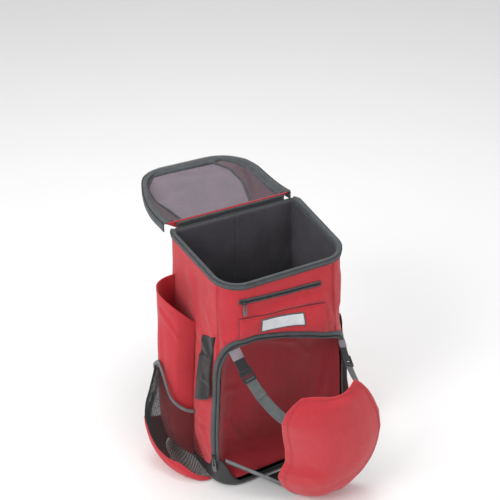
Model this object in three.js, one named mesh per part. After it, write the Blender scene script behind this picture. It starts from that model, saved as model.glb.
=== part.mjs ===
// Baseball bat backpack, standing on its base with the lid folded back and the front flap let down.
// Millimetres, +Z up. The front of the bag faces -Y and the wearer's back is at +Y.
// Every soft piece is a cloth wall: a sheet of points given a thickness, closed all round.
import * as THREE from 'three';

// Main body
const bodyWidth = 266;
const bodyDepth = 208;
const rimHeight = 467;
const backRise = 23;
const backFlare = 7;
const frontCorner = 50;
const backCorner = 16;
const panelWall = 3;
const liningWall = 2;
const liningGap = 1.3;
const seamSlit = 0.006;
const backSlit = 0.026;
const layerGap = 0.7;
const seatGap = 0.3;
const sideGap = 1.25;

// Zips, tapes and webbing
const zipThick = 1.6;
const rimZipWidth = 15;
const rimZipThick = 2.6;
const frontZipWidth = 20;
const frontZipTopWidth = 13;
const pocketZipWidth = 10;
const pullerLength = 28;
const pullerWidth = 7;
const pullerThick = 2;
const bigPullerLength = 38;
const bigPullerWidth = 11;
const pocketFlapThick = 2.2;
const labelThick = 1.2;
const webWidth = 20;
const webThick = 1.8;
const buckleLength = 24;
const buckleThick = 6;
const hookStrapThick = 2;

// Boot under the bag
const bootWall = 3;
const bootBilge = 14;
const bootSeam = 1.2;

// Recess behind the front flap
const recessDepth = 42;
const recessWall = 2;

// Front flap: a tray that continues the boot and narrows to a fold, and the cup beyond it
const trayLength = 76;
const trayEndHalf = 52;
const trayKeelHalf = 22;
const trayEndHeight = 26;
const trayEndShift = 12;
const trayWall = 2.5;
const cupHeight = 297;
const cupHalf = 100;
const cupReach = 76;
const cupWall = 3;
const cupSag = 0.438;

// Lid
const lidLength = 222;
const lidDrop = 42;
const lidWall = 2.5;
const lidLiningWall = 1.5;
const lidShift = -8;
const hingeRise = 10;
const hingeWall = 2.5;

// Side pockets
const sleeveBulge = 51;
const sleeveTop = 405;
const sleeveWall = 2.5;
const pocketBulge = 74;
const pocketTop = 240;
const pocketWall = 2;
const pocketBaseTop = 109;
const pocketSeam = 1.2;
const bindingWidth = 9;
const bindingThick = 3;

// Back of the bag
const backPadThick = 14;
const backPadHalf = 104;
const shoulderWidth = 62;
const shoulderThick = 12;
const shoulderSpread = 62;
const lowerWebWidth = 25;
const handleHalf = 44;
const handleOut = 32;
const handleThick = 6;
const handleWidth = 24;

// Colours
const red = 0xc93a45;
const shadeRed = 0x8e2730;
const darkGrey = 0x4a4f52;
const lightGrey = 0x85888b;
const lilacGrey = 0x8c828a;
const black = 0x1c1d1e;
const bootBlack = 0x2e3030;
const liningGrey = 0x6f6872;
const labelWhite = 0xd8dadd;

// Body outline against height: columns are shares of rim height, of half the width and of half the depth.
const bodyShape = [
  { at: 0.000, half: 1.12, front: 1.04 },
  { at: 0.030, half: 1.145, front: 1.08 },
  { at: 0.155, half: 1.145, front: 1.09 },
  { at: 0.535, half: 1.08, front: 1.07 },
  { at: 0.750, half: 1.03, front: 1.05 },
  { at: 0.900, half: 1.01, front: 1.02 },
  { at: 1.000, half: 1.00, front: 1.00 },
];

// The front of the bag is pushed out beside the corner of the flap opening.
const slumpDepth = 16;
const slump = { across: 0.62, acrossSpread: 0.55, height: 0.70, heightSpread: 0.13 };

// Flap opening: place round the body (1 to 2 is the front corner) and height as a share of rim height.
const openingPath = [
  { round: -1.74, height: 0.150 },
  { round: -1.76, height: 0.270 },
  { round: -1.77, height: 0.400 },
  { round: -1.76, height: 0.540 },
  { round: -1.73, height: 0.620 },
  { round: -1.66, height: 0.664 },
  { round: -1.48, height: 0.722 },
  { round: -1.25, height: 0.749 },
  { round: -0.90, height: 0.754 },
  { round: -0.45, height: 0.739 },
  { round: 0.00, height: 0.721 },
  { round: 0.45, height: 0.704 },
  { round: 0.90, height: 0.668 },
  { round: 1.25, height: 0.632 },
  { round: 1.48, height: 0.590 },
  { round: 1.66, height: 0.530 },
  { round: 1.73, height: 0.470 },
  { round: 1.76, height: 0.400 },
  { round: 1.76, height: 0.270 },
  { round: 1.74, height: 0.150 },
];

// Upper edge of the boot: place round the body and height as a share of rim height.
const bootEdge = [
  { at: 0.0, height: 0.030 },
  { at: 1.0, height: 0.030 },
  { at: 1.25, height: 0.060 },
  { at: 1.5, height: 0.140 },
  { at: 1.8, height: 0.155 },
  { at: 2.0, height: 0.085 },
  { at: 2.3, height: 0.062 },
  { at: 5.0, height: 0.062 },
];

// Cup of the flap, bottom to top: height share of cupHeight, edges as shares of cupHalf,
// setback of the two side edges and of the middle as shares of cupReach.
const cupRows = [
  { at: 0.012, left: -0.16, right: 0.60, backLeft: 0.01, backRight: 0.05, middle: 0.18 },
  { at: 0.040, left: -0.30, right: 0.82, backLeft: 0.02, backRight: 0.22, middle: 0.42 },
  { at: 0.090, left: -0.44, right: 1.00, backLeft: 0.03, backRight: 0.40, middle: 0.64 },
  { at: 0.160, left: -0.59, right: 1.11, backLeft: 0.03, backRight: 0.48, middle: 0.79 },
  { at: 0.250, left: -0.69, right: 1.22, backLeft: 0.04, backRight: 0.54, middle: 0.92 },
  { at: 0.320, left: -0.67, right: 1.26, backLeft: 0.10, backRight: 0.58, middle: 0.98 },
  { at: 0.400, left: -0.60, right: 1.29, backLeft: 0.17, backRight: 0.61, middle: 1.02 },
  { at: 0.520, left: -0.64, right: 1.30, backLeft: 0.24, backRight: 0.64, middle: 1.05 },
  { at: 0.670, left: -0.74, right: 1.21, backLeft: 0.32, backRight: 0.66, middle: 1.06 },
  { at: 0.790, left: -0.81, right: 1.05, backLeft: 0.42, backRight: 0.68, middle: 1.02 },
  { at: 0.880, left: -0.76, right: 0.90, backLeft: 0.50, backRight: 0.70, middle: 0.96 },
  { at: 0.950, left: -0.66, right: 0.74, backLeft: 0.60, backRight: 0.70, middle: 0.87 },
  { at: 1.000, left: -0.54, right: 0.58, backLeft: 0.68, backRight: 0.70, middle: 0.80 },
];

// Lid from the hinge to its front edge, in shares of half the body width: left and right edges,
// place of the seam. drop is the depth of the seam below the edge as a share of lidDrop.
const lidRows = [
  { at: 0.000, left: 1.02, right: 1.02, seam: 0.50, drop: 0.00 },
  { at: 0.012, left: 1.02, right: 1.02, seam: 0.50, drop: 0.86 },
  { at: 0.040, left: 1.02, right: 1.01, seam: 0.51, drop: 1.00 },
  { at: 0.200, left: 1.02, right: 0.99, seam: 0.57, drop: 0.92 },
  { at: 0.400, left: 0.98, right: 1.00, seam: 0.66, drop: 0.76 },
  { at: 0.600, left: 0.89, right: 1.02, seam: 0.74, drop: 0.60 },
  { at: 0.780, left: 0.78, right: 0.98, seam: 0.72, drop: 0.44 },
  { at: 0.880, left: 0.69, right: 0.88, seam: 0.62, drop: 0.30 },
  { at: 0.950, left: 0.56, right: 0.75, seam: 0.50, drop: 0.18 },
  { at: 0.985, left: 0.44, right: 0.62, seam: 0.38, drop: 0.08 },
  { at: 1.000, left: 0.32, right: 0.50, seam: 0.26, drop: 0.02 },
];

// Tall side sleeve against height: bulge as a share of sleeveBulge.
const sleeveRows = [
  { at: 0.000, bulge: 0.16 },
  { at: 0.030, bulge: 0.46 },
  { at: 0.090, bulge: 0.70 },
  { at: 0.250, bulge: 0.86 },
  { at: 0.550, bulge: 0.95 },
  { at: 0.800, bulge: 1.00 },
  { at: 1.000, bulge: 1.06 },
];

// Net pocket against height: bulge as a share of pocketBulge, front edge as a share of half the depth.
const pocketRows = [
  { at: 0.000, bulge: 0.50, front: -0.62 },
  { at: 0.045, bulge: 0.72, front: -0.60 },
  { at: 0.120, bulge: 0.90, front: -0.50 },
  { at: 0.250, bulge: 1.02, front: -0.20 },
  { at: 0.420, bulge: 1.08, front: -0.05 },
  { at: 0.560, bulge: 1.05, front: -0.04 },
  { at: 0.700, bulge: 0.93, front: -0.04 },
  { at: 0.850, bulge: 0.80, front: -0.04 },
  { at: 1.000, bulge: 0.73, front: -0.04 },
];

// Upper edge of the net pocket from its front seam to its rear one: the band on its net as a
// share of pocketTop, and the top of its cloth gusset as a share of pocketBaseTop.
const pocketEdgeRows = [
  { at: 0.00, edge: 0.55, gusset: 0.11 },
  { at: 0.10, edge: 0.64, gusset: 0.20 },
  { at: 0.20, edge: 0.725, gusset: 0.38 },
  { at: 0.30, edge: 0.835, gusset: 0.42 },
  { at: 0.40, edge: 0.945, gusset: 0.55 },
  { at: 0.50, edge: 1.00, gusset: 0.95 },
  { at: 0.60, edge: 0.95, gusset: 1.00 },
  { at: 0.80, edge: 0.82, gusset: 0.76 },
  { at: 1.00, edge: 0.72, gusset: 0.56 },
];

const vec = (x, y, z) => new THREE.Vector3(x, y, z);
const mix = (a, b, t) => a + (b - a) * t;
const clamp = (value, low, high) => Math.min(high, Math.max(low, value));

// Straight reading of one column of a table whose rows are ordered by key.
function read(table, at, column, key = 'at') {
  if (at <= table[0][key]) return table[0][column];
  for (let i = 1; i < table.length; i += 1) {
    const low = table[i - 1];
    const high = table[i];
    if (at <= high[key]) return mix(low[column], high[column], (at - low[key]) / (high[key] - low[key]));
  }
  return table[table.length - 1][column];
}

function steps(from, to, count) {
  return Array.from({ length: count + 1 }, (_, i) => mix(from, to, i / count));
}

const built = new THREE.Group();

function addMesh(name, geometry, colour, roughness = 0.9, metalness = 0) {
  const material = new THREE.MeshStandardMaterial({ color: colour, roughness, metalness });
  const mesh = new THREE.Mesh(geometry, material);
  mesh.name = name;
  built.add(mesh);
  return mesh;
}

function volumeOf(points, faces) {
  let sum = 0;
  for (const [a, b, c] of faces) sum += points[a].dot(points[b].clone().cross(points[c]));
  return sum / 6;
}

function closedGeometry(points, faces) {
  const outward = volumeOf(points, faces) > 0 ? faces : faces.map(([a, b, c]) => [a, c, b]);
  const geometry = new THREE.BufferGeometry();
  const places = points.flatMap((p) => [p.x, p.y, p.z]);
  geometry.setAttribute('position', new THREE.Float32BufferAttribute(places, 3));
  geometry.setIndex(outward.flat());
  geometry.computeVertexNormals();
  return geometry;
}

// A cloth wall over the grid us x vs. The sheet's points come from place(u, v) and its
// thickness goes to the side that wall's sign picks. round joins the last column to the
// first one, and floor closes the first row with a flat fan. lining(u, v) gives the other side
// of a wall that isn't even.
function sheet({ us, vs, place, wall, lining, round = false, floor = false }) {
  const columns = us.length;
  const rows = vs.length;
  const spans = round ? columns : columns - 1;
  const index = (i, j) => j * columns + (i % columns);
  const outer = vs.flatMap((v) => us.map((u) => place(u, v)));
  const normals = outer.map(() => vec(0, 0, 0));
  const quads = [];
  for (let j = 0; j < rows - 1; j += 1) {
    for (let i = 0; i < spans; i += 1) {
      quads.push([index(i, j), index(i + 1, j), index(i + 1, j + 1), index(i, j + 1)]);
    }
  }
  for (const [a, b, c, d] of quads) {
    const normal = outer[c].clone().sub(outer[a]).cross(outer[d].clone().sub(outer[b]));
    for (const k of [a, b, c, d]) normals[k].add(normal);
  }
  const inner = lining
    ? vs.flatMap((v) => us.map((u) => lining(u, v)))
    : outer.map((p, k) => p.clone().addScaledVector(normals[k].normalize(), wall));
  const points = [...outer, ...inner];
  const half = outer.length;
  const faces = [];
  const quad = (a, b, c, d) => faces.push([a, b, c], [a, c, d]);
  for (const [a, b, c, d] of quads) {
    quad(a, b, c, d);
    quad(half + d, half + c, half + b, half + a);
  }
  for (let i = 0; i < spans; i += 1) {
    if (!floor) quad(index(i + 1, 0), index(i, 0), half + index(i, 0), half + index(i + 1, 0));
    const top = rows - 1;
    quad(index(i, top), index(i + 1, top), half + index(i + 1, top), half + index(i, top));
  }
  if (!round) {
    for (let j = 0; j < rows - 1; j += 1) {
      const end = columns - 1;
      quad(index(0, j), index(0, j + 1), half + index(0, j + 1), half + index(0, j));
      quad(index(end, j + 1), index(end, j), half + index(end, j), half + index(end, j + 1));
    }
  }
  if (floor) {
    for (const [shift, flip] of [[0, false], [half, true]]) {
      const middle = points.length;
      const ring = us.map((_, i) => points[shift + i]);
      points.push(ring.reduce((sum, p) => sum.add(p), vec(0, 0, 0)).divideScalar(columns));
      for (let i = 0; i < spans; i += 1) {
        const a = shift + index(i, 0);
        const b = shift + index(i + 1, 0);
        faces.push(flip ? [middle, a, b] : [middle, b, a]);
      }
    }
  }
  return closedGeometry(points, faces);
}

// A flat band along a path. Each stop has a point, a unit direction across and the band's width.
function band(stops, thickness, closed = false) {
  const along = stops.map((_, i) => i);
  return sheet({
    us: along,
    vs: [-0.5, 0.5],
    place: (i, side) => stops[i].at.clone().addScaledVector(stops[i].across, side * stops[i].width),
    wall: thickness,
    round: closed,
  });
}

// Body surface. round runs from 0 at the middle of the front to 5 at the middle of the back,
// below zero on the -X side: 0 to 1 front, 1 to 2 front corner, 2 to 3 side, 3 to 4 back corner,
// 4 to 5 back.
function bodySection(z) {
  const share = z / rimHeight;
  return {
    half: bodyWidth / 2 * read(bodyShape, share, 'half'),
    front: -bodyDepth / 2 * read(bodyShape, share, 'front'),
    back: bodyDepth / 2,
  };
}

function slumpAt(round, z) {
  const across = (round - slump.across) / slump.acrossSpread;
  const height = (z / rimHeight - slump.height) / slump.heightSpread;
  return slumpDepth * Math.exp(-across * across - height * height);
}

function bodyPoint(round, z, lift = 0) {
  const { half, front, back } = bodySection(z);
  const side = Math.sign(round) || 1;
  const place = Math.abs(round);
  const quarter = Math.PI / 2;
  if (place <= 2) {
    const angle = clamp(place - 1, 0, 1) * quarter;
    const x = Math.min(place, 1) * (half - frontCorner) + (frontCorner + lift) * Math.sin(angle);
    const y = front + frontCorner - (frontCorner + lift) * Math.cos(angle);
    return vec(side * x, y - slumpAt(round, z), z);
  }
  const sideFront = front + frontCorner;
  const sideBack = back - backCorner;
  if (place <= 3) {
    return vec(side * (half + lift + backFlare * (place - 2)), mix(sideFront, sideBack, place - 2), z);
  }
  const angle = clamp(place - 3, 0, 1) * quarter;
  const flat = half + backFlare - backCorner;
  const x = place > 4 ? flat * (5 - place) : flat + (backCorner + lift) * Math.cos(angle);
  return vec(side * x, sideBack + (backCorner + lift) * Math.sin(angle), z);
}

// Half width of the body at a place on its side face
function sideX(y, z) {
  const { half, front, back } = bodySection(z);
  const share = (y - front - frontCorner) / (back - backCorner - front - frontCorner);
  return half + backFlare * clamp(share, 0, 1);
}

function rimZ(round) {
  const { front, back } = bodySection(rimHeight);
  const share = (bodyPoint(round, rimHeight).y - front) / (back - front);
  return rimHeight + backRise * clamp(share, 0, 1);
}

const bootZ = (round) => rimHeight * read(bootEdge, Math.abs(round), 'height');

const openingCurve = new THREE.CatmullRomCurve3(
  openingPath.map(({ round, height }) => vec(round, height * rimHeight / frontCorner, 0)),
  false,
  'centripetal',
);
const openingFine = openingCurve.getSpacedPoints(400).map((p) => ({ at: p.x, z: p.y * frontCorner }));
const openingTop = openingFine.filter(({ at, z }) => z > rimHeight * (at < 0 ? 0.56 : 0.48));
const openingZ = (round) => read(openingTop, round, 'z');

// Columns round the body, fine on the corners.
const cornerSteps = steps(1, 2, 9);

function roundSteps(from, to) {
  const marks = [0, 0.25, 0.5, 0.75, ...cornerSteps, 2.35, 2.7, 3, 3.33, 3.67, 4, 4.5, 5];
  const signed = [...marks.map((m) => -m).reverse(), ...marks];
  const inside = signed.filter((m) => m > from + 0.02 && m < to - 0.02);
  return [from, ...new Set(inside), to];
}

// Stops along the opening: up one leg, across the panel's own columns, down the other leg.
const legHeights = [0.150, 0.210, 0.270, 0.335, 0.400, 0.470, 0.540, 0.585, 0.620, 0.650];
const leg = (side) => legHeights.map((height) => {
  const rows = openingPath.filter(({ round }) => Math.sign(round) === side && Math.abs(round) > 1.4);
  const table = rows.map(({ round, height: at }) => ({ at, round })).sort((a, b) => a.at - b.at);
  return { round: read(table, height, 'round'), z: height * rimHeight };
});
const openingStops = [
  ...leg(-1),
  ...roundSteps(-1.66, 1.48).map((round) => ({ round, z: openingZ(round) })),
  ...leg(1).reverse().slice(3),
];

// Body panels
const leftSeam = -1.74;
const rightSeam = 1.12;
const backSeam = 3.5;
const panelRows = steps(0, 1, 10);

function panel(name, from, to, lowAt, colour) {
  addMesh(name, sheet({
    us: roundSteps(from, to),
    vs: panelRows,
    place: (round, v) => bodyPoint(round, mix(lowAt(round), rimZ(round), v)),
    wall: -panelWall,
  }), colour);
}

panel('front_panel', leftSeam + seamSlit, rightSeam - seamSlit, openingZ, red);
panel('side_panel_left', -backSeam + backSlit, leftSeam - seamSlit, (round) => bootZ(round) + bootSeam, red);
panel('side_panel_right', rightSeam + seamSlit, backSeam - backSlit, (round) => (
  round < 1.76 ? openingZ(round) : bootZ(round) + bootSeam
), red);

// The back panel passes through round = 5, so its columns are counted on past it.
const backRound = (q) => (q > 5 ? q - 10 : q);
addMesh('back_panel', sheet({
  us: [backSeam + backSlit, 3.67, 4, 4.33, 4.67, 5, 5.33, 5.67, 6, 6.33, 10 - backSeam - backSlit],
  vs: panelRows,
  place: (q, v) => {
    const round = backRound(q);
    return bodyPoint(round, mix(bootZ(round) + bootSeam, rimZ(round), v));
  },
  wall: -panelWall,
}), darkGrey);

// Boot: a flat floor, a rounded bilge and a wall whose upper edge sweeps up at the front corners.
const bootRows = [
  { size: 0.30, rise: 0.0 },
  { size: 0.90, rise: 0.0 },
  { size: 0.97, rise: 0.25 },
  { size: 1.00, rise: 1.0 },
];
const fullLoop = [...roundSteps(-5, 5)].slice(0, -1);

function bootPoint(round, row) {
  const high = bootZ(round);
  if (row > bootRows.length - 1) return bodyPoint(round, high);
  const { size, rise } = bootRows[row];
  const edge = bodyPoint(round, bootBilge);
  const { front, back } = bodySection(bootBilge);
  const middle = (front + back) / 2;
  return vec(edge.x * size, middle + (edge.y - middle) * size, bootBilge * rise);
}

addMesh('base_boot', sheet({
  us: fullLoop,
  vs: [0, 1, 2, 3, 4],
  place: bootPoint,
  wall: -bootWall,
  round: true,
  floor: true,
}), bootBlack, 0.6);

// Main compartment lining, with a step over the recess for the front flap.
const liningLow = bootBilge + bootWall + 4;
const shelfLow = rimHeight * 0.768;
const shelfHigh = rimHeight * 0.815;
const liningHeights = [0, 0.33, 0.66, 1].map((v) => mix(liningLow, shelfLow, v));

function liningPoint(round, row) {
  const last = liningHeights.length - 1;
  const top = rimZ(round) - 1;
  const z = row <= last ? liningHeights[row] : mix(shelfHigh, top, (row - last - 1) / 3);
  const p = bodyPoint(round, z, -(panelWall + liningGap));
  if (row <= last) {
    const behind = bodySection(z).front + panelWall + recessDepth + recessWall + 5;
    p.y = Math.max(p.y, behind);
  }
  return p;
}

addMesh('compartment_lining', sheet({
  us: fullLoop,
  vs: [0, 1, 2, 3, 4, 5, 6, 7],
  place: liningPoint,
  wall: -liningWall,
  round: true,
}), liningGrey);

// Recess behind the front flap: a dish whose rim sits behind the edge of the opening.
const recessLow = bootBilge + bootWall + 6;

function recessPoint(across, v) {
  const round = across * 1.66;
  const z = mix(recessLow, openingZ(round) - 2, v);
  const p = bodyPoint(round, z, -(panelWall + liningGap));
  const hollow = (1 - Math.abs(across) ** 10) * (1 - Math.abs(2 * v - 1) ** 8);
  const back = bodySection(z).front + panelWall + recessDepth;
  const dip = clamp(back - p.y, 0, recessDepth);
  return vec(p.x * (1 - 0.05 * hollow), p.y + dip * hollow, z);
}

addMesh('flap_recess', sheet({
  us: roundSteps(-1.66, 1.66).map((round) => round / 1.66),
  vs: [0, 0.05, 0.12, 0.22, 0.4, 0.6, 0.78, 0.88, 0.95, 1],
  place: recessPoint,
  wall: -recessWall,
}), shadeRed);

// Zip tapes on the body
function surfaceBand(path, width, lift, thick) {
  const count = path.length;
  const points = path.map(({ round, z }) => bodyPoint(round, z, lift));
  const frames = path.map(({ round, z }, i) => {
    const along = points[Math.min(i + 1, count - 1)].clone().sub(points[Math.max(i - 1, 0)]).normalize();
    const out = bodyPoint(round, z, lift + 1).sub(bodyPoint(round, z, lift)).normalize();
    const across = out.cross(along).normalize();
    const around = bodyPoint(round + 0.01, z).sub(bodyPoint(round - 0.01, z)).multiplyScalar(50);
    return { slide: across.dot(around) / around.lengthSq(), climb: across.z };
  });
  return sheet({
    us: path.map((_, i) => i),
    vs: [-0.5, 0, 0.5],
    place: (i, v) => {
      const reach = v * width(i / (count - 1));
      return bodyPoint(path[i].round + reach * frames[i].slide, path[i].z + reach * frames[i].climb, lift);
    },
    wall: -thick,
  });
}

const rimRounds = roundSteps(-3.6, 3.6);
addMesh('rim_zip', band(
  rimRounds.map((round) => ({
    at: bodyPoint(round, rimZ(round) - rimZipWidth / 2 + 3, layerGap),
    across: vec(0, 0, 1),
    width: rimZipWidth,
  })),
  rimZipThick,
), darkGrey, 0.7);

const openingWidth = (share) => mix(frontZipWidth, frontZipTopWidth, Math.sin(Math.PI * share) ** 3);
addMesh('flap_zip_body', surfaceBand(openingStops, openingWidth, layerGap + zipThick, zipThick), darkGrey, 0.7);

const frontZipPath = [
  { round: -1.24, height: 0.934 },
  { round: -1.10, height: 0.932 },
  { round: -0.75, height: 0.926 },
  { round: -0.25, height: 0.920 },
  { round: 0.25, height: 0.916 },
  { round: 0.78, height: 0.912 },
].map(({ round, height }) => ({ round, z: height * rimHeight }));
addMesh(
  'front_pocket_zip',
  surfaceBand(frontZipPath, () => pocketZipWidth, layerGap * 1.6 + zipThick, zipThick),
  darkGrey,
  0.7,
);

function puller(name, round, z, length, width, lift) {
  const shape = new THREE.Shape();
  shape.moveTo(-width * 0.28, 0);
  shape.lineTo(width * 0.28, 0);
  shape.lineTo(width * 0.5, -length + width * 0.5);
  shape.absarc(0, -length + width * 0.5, width * 0.5, 0, -Math.PI, true);
  const hole = new THREE.Path();
  hole.absarc(0, -length + width * 0.5, width * 0.22, 0, 2 * Math.PI, false);
  shape.holes.push(hole);
  const depth = pullerThick;
  const geometry = new THREE.ExtrudeGeometry(shape, { depth, bevelEnabled: false, curveSegments: 6 });
  geometry.translate(0, 0, -depth / 2);
  const mesh = addMesh(name, geometry, lightGrey, 0.4, 0.5);
  const at = bodyPoint(round, z, lift);
  const out = bodyPoint(round, z, lift + 1).sub(at);
  mesh.position.copy(at);
  mesh.rotation.set(Math.PI / 2, Math.atan2(out.x, -out.y), 0, 'ZXY');
  return mesh;
}

const pullerLift = layerGap + zipThick + pullerThick / 2 + seatGap;
const smallLift = pullerLift + 0.5;
puller('front_pocket_puller', -1.13, frontZipPath[0].z - 2, pullerLength, pullerWidth, smallLift);
const pullerLow = openingStops[0].z + 6;
puller('flap_puller_left', leftSeam, pullerLow, bigPullerLength, bigPullerWidth, pullerLift);
puller('flap_puller_right', -leftSeam, pullerLow, bigPullerLength, bigPullerWidth, pullerLift);

// Flap of the small pocket with its blank label
function patch(name, from, to, lowAt, highAt, lift, thick, colour) {
  addMesh(name, sheet({
    us: roundSteps(from, to),
    vs: steps(0, 1, 3),
    place: (round, v) => bodyPoint(round, mix(lowAt(round), highAt(round), v), lift + thick),
    wall: -thick,
  }), colour);
}

const patchLift = layerGap * 1.5;
const patchTop = (round) => rimHeight * mix(0.857, 0.822, (round + 1.23) / 2.06);
patch(
  'pocket_flap', -1.23, 0.85, (round) => openingZ(round) + frontZipTopWidth / 2 + 2, patchTop,
  patchLift, pocketFlapThick, red,
);
const labelLeft = -0.735;
const labelRight = 0.295;
const labelShare = (round) => (round - labelLeft) / (labelRight - labelLeft);
const labelTop = (round) => rimHeight * mix(0.836, 0.814, labelShare(round));
const labelLow = (round) => rimHeight * mix(0.778, 0.759, labelShare(round));
const labelLift = patchLift + pocketFlapThick + seatGap;
patch('blank_label', labelLeft, labelRight, labelLow, labelTop, labelLift, labelThick, labelWhite);

// Front flap: tray from the boot to the cup, with the other half of the zip along its edges
const trayRound = 1.43;
const trayFlatRound = 0.54;
const frontY = bodySection(bootBilge).front;
const trayEndY = frontY - trayLength;
const trayEdgeStart = rimHeight * 0.15;
const trayFlat = 0.6;
const trayLift = 1;
const trayEdgeLift = 2.65;

function trayPoint(across, v) {
  const side = Math.sign(across) || 1;
  const share = Math.abs(across);
  const flat = Math.min(share / trayFlat, 1);
  const up = Math.max(share - trayFlat, 0) / (1 - trayFlat);
  const climb = 1 - (1 - up) ** 1.6;
  const startRound = mix(flat * trayFlatRound, trayRound, up);
  const startHeight = Math.max(trayEdgeStart * climb, bootBilge);
  const start = bodyPoint(side * startRound, startHeight, trayWall + layerGap);
  start.z = mix(trayLift, trayEdgeStart, climb);
  const endX = mix(flat * trayKeelHalf, trayEndHalf, up);
  const end = vec(side * endX + trayEndShift, trayEndY, mix(trayLift, trayEndHeight, up));
  return start.lerp(end, v);
}

addMesh('flap_tray', sheet({
  us: [-1, -0.87, -0.74, -0.6, -0.3, 0, 0.3, 0.6, 0.74, 0.87, 1],
  vs: [0, 0.25, 0.5, 0.75, 1],
  place: trayPoint,
  wall: -trayWall,
}), bootBlack, 0.6);

function cupPoint(across, share) {
  const t = (across + 1) / 2;
  const bulge = 1 - Math.abs(across) ** 2.4;
  const edge = mix(read(cupRows, share, 'backLeft'), read(cupRows, share, 'backRight'), t);
  const reach = mix(edge, read(cupRows, share, 'middle'), bulge);
  const x = cupHalf * mix(read(cupRows, share, 'left'), read(cupRows, share, 'right'), t);
  const sag = cupSag * Math.max(share - 0.9, 0) * (1 - across ** 2) * Math.max(1 + 1.34 * across, 0);
  return vec(x, trayEndY - seatGap - cupReach * reach, cupHeight * (share - sag));
}

addMesh('flap_cup', sheet({
  us: [-1, -0.9, -0.75, -0.55, -0.28, 0, 0.28, 0.55, 0.75, 0.9, 1],
  vs: [0.012, 0.04, 0.075, ...steps(0.12, 0.68, 7), 0.74, 0.8, 0.85, 0.9, 0.94, 0.97, 1],
  place: cupPoint,
  wall: -cupWall,
}), red);

for (const [side, label] of [[-1, 'left'], [1, 'right']]) {
  const stops = steps(0, 1, 6).map((v) => ({
    at: trayPoint(side, v).add(vec(0, 0, trayEdgeLift + bindingWidth / 2)),
    across: vec(0, 0, 1),
    width: bindingWidth,
  }));
  addMesh(`flap_zip_edge_${label}`, band(stops, side * zipThick), lightGrey, 0.7);
}

// Straps that hold the cup up
const strapRound = 1.34;
const strapSag = 20;
const strapDropLeft = 2.2;
const strapDropRight = 5.6;
const strapNormal = (side) => vec(side * 0.42, -0.72, 0.55).normalize();

function flapStrap(side, label) {
  const topRound = side * strapRound;
  const topZ = openingZ(topRound) - frontZipTopWidth / 2 - (side < 0 ? strapDropLeft : strapDropRight);
  const top = bodyPoint(topRound, topZ, layerGap + zipThick + 1.6);
  const bottom = cupPoint(side * 0.93, 0.81).add(vec(0, cupWall + 8.5, 0));
  const point = (t) => top.clone().lerp(bottom, t).add(vec(0, 0, -strapSag * 4 * t * (1 - t)));
  const stop = (t) => {
    const along = point(t + 0.01).sub(point(t - 0.01)).normalize();
    return { at: point(t), across: along.cross(strapNormal(side)).normalize(), width: webWidth };
  };
  const buckleAt = 0.27;
  const reach = (way) => {
    let t = buckleAt;
    while (point(t).distanceTo(point(buckleAt)) < buckleLength / 2 + seatGap) t += way * 0.0005;
    return t;
  };
  addMesh(`flap_strap_tab_${label}`, band(steps(0, reach(-1), 3).map(stop), webThick), black);
  addMesh(`flap_strap_${label}`, band(steps(reach(1), 1, 8).map(stop), webThick), darkGrey);
  const frame = new THREE.Shape();
  const halfWide = webWidth / 2 + 3;
  const halfLong = buckleLength / 2 - seatGap;
  frame.moveTo(-halfWide, -halfLong);
  frame.lineTo(halfWide, -halfLong);
  frame.lineTo(halfWide, halfLong);
  frame.lineTo(-halfWide, halfLong);
  for (const low of [-halfLong + 3, 1.5]) {
    const slot = new THREE.Path();
    slot.moveTo(-webWidth / 2, low);
    slot.lineTo(-webWidth / 2, low + halfLong - 4.5);
    slot.lineTo(webWidth / 2, low + halfLong - 4.5);
    slot.lineTo(webWidth / 2, low);
    frame.holes.push(slot);
  }
  const geometry = new THREE.ExtrudeGeometry(frame, { depth: buckleThick, bevelEnabled: false });
  geometry.translate(0, 0, -buckleThick / 2);
  const mesh = addMesh(`flap_buckle_${label}`, geometry, black, 0.4);
  const { at, across } = stop(buckleAt);
  const along = point(buckleAt + 0.01).sub(point(buckleAt - 0.01)).normalize();
  mesh.applyMatrix4(new THREE.Matrix4().makeBasis(across, along, across.clone().cross(along)).setPosition(at));
}

flapStrap(-1, 'left');
flapStrap(1, 'right');

// Lid, folded back: its zip edge lies level behind the bag and the panel hangs below it like a dish.
const hingeZ = rimHeight + backRise + hingeRise;
const hingeY = bodyDepth / 2 + layerGap;
const lidStart = hingeY + hingeWall + lidWall + 2 * seatGap;
const lidPanelShare = 0.55;

function lidPoint(across, share, inset) {
  const unit = bodyWidth / 2;
  const side = Math.sign(across);
  const out = Math.abs(across);
  const half = unit * read(lidRows, share, side < 0 ? 'left' : 'right') - inset;
  const seam = Math.min(read(lidRows, share, 'seam') * unit, half - 4);
  const drop = Math.max(read(lidRows, share, 'drop') * lidDrop - inset, 0);
  const past = Math.max(out - lidPanelShare, 0) / (1 - lidPanelShare);
  const x = past > 0 ? mix(seam, half, past) : seam * out / lidPanelShare;
  const y = lidStart + mix(inset, lidLength - inset, share);
  return vec(lidShift + side * x, y, hingeZ - drop * (1 - past ** 1.2));
}

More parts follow.
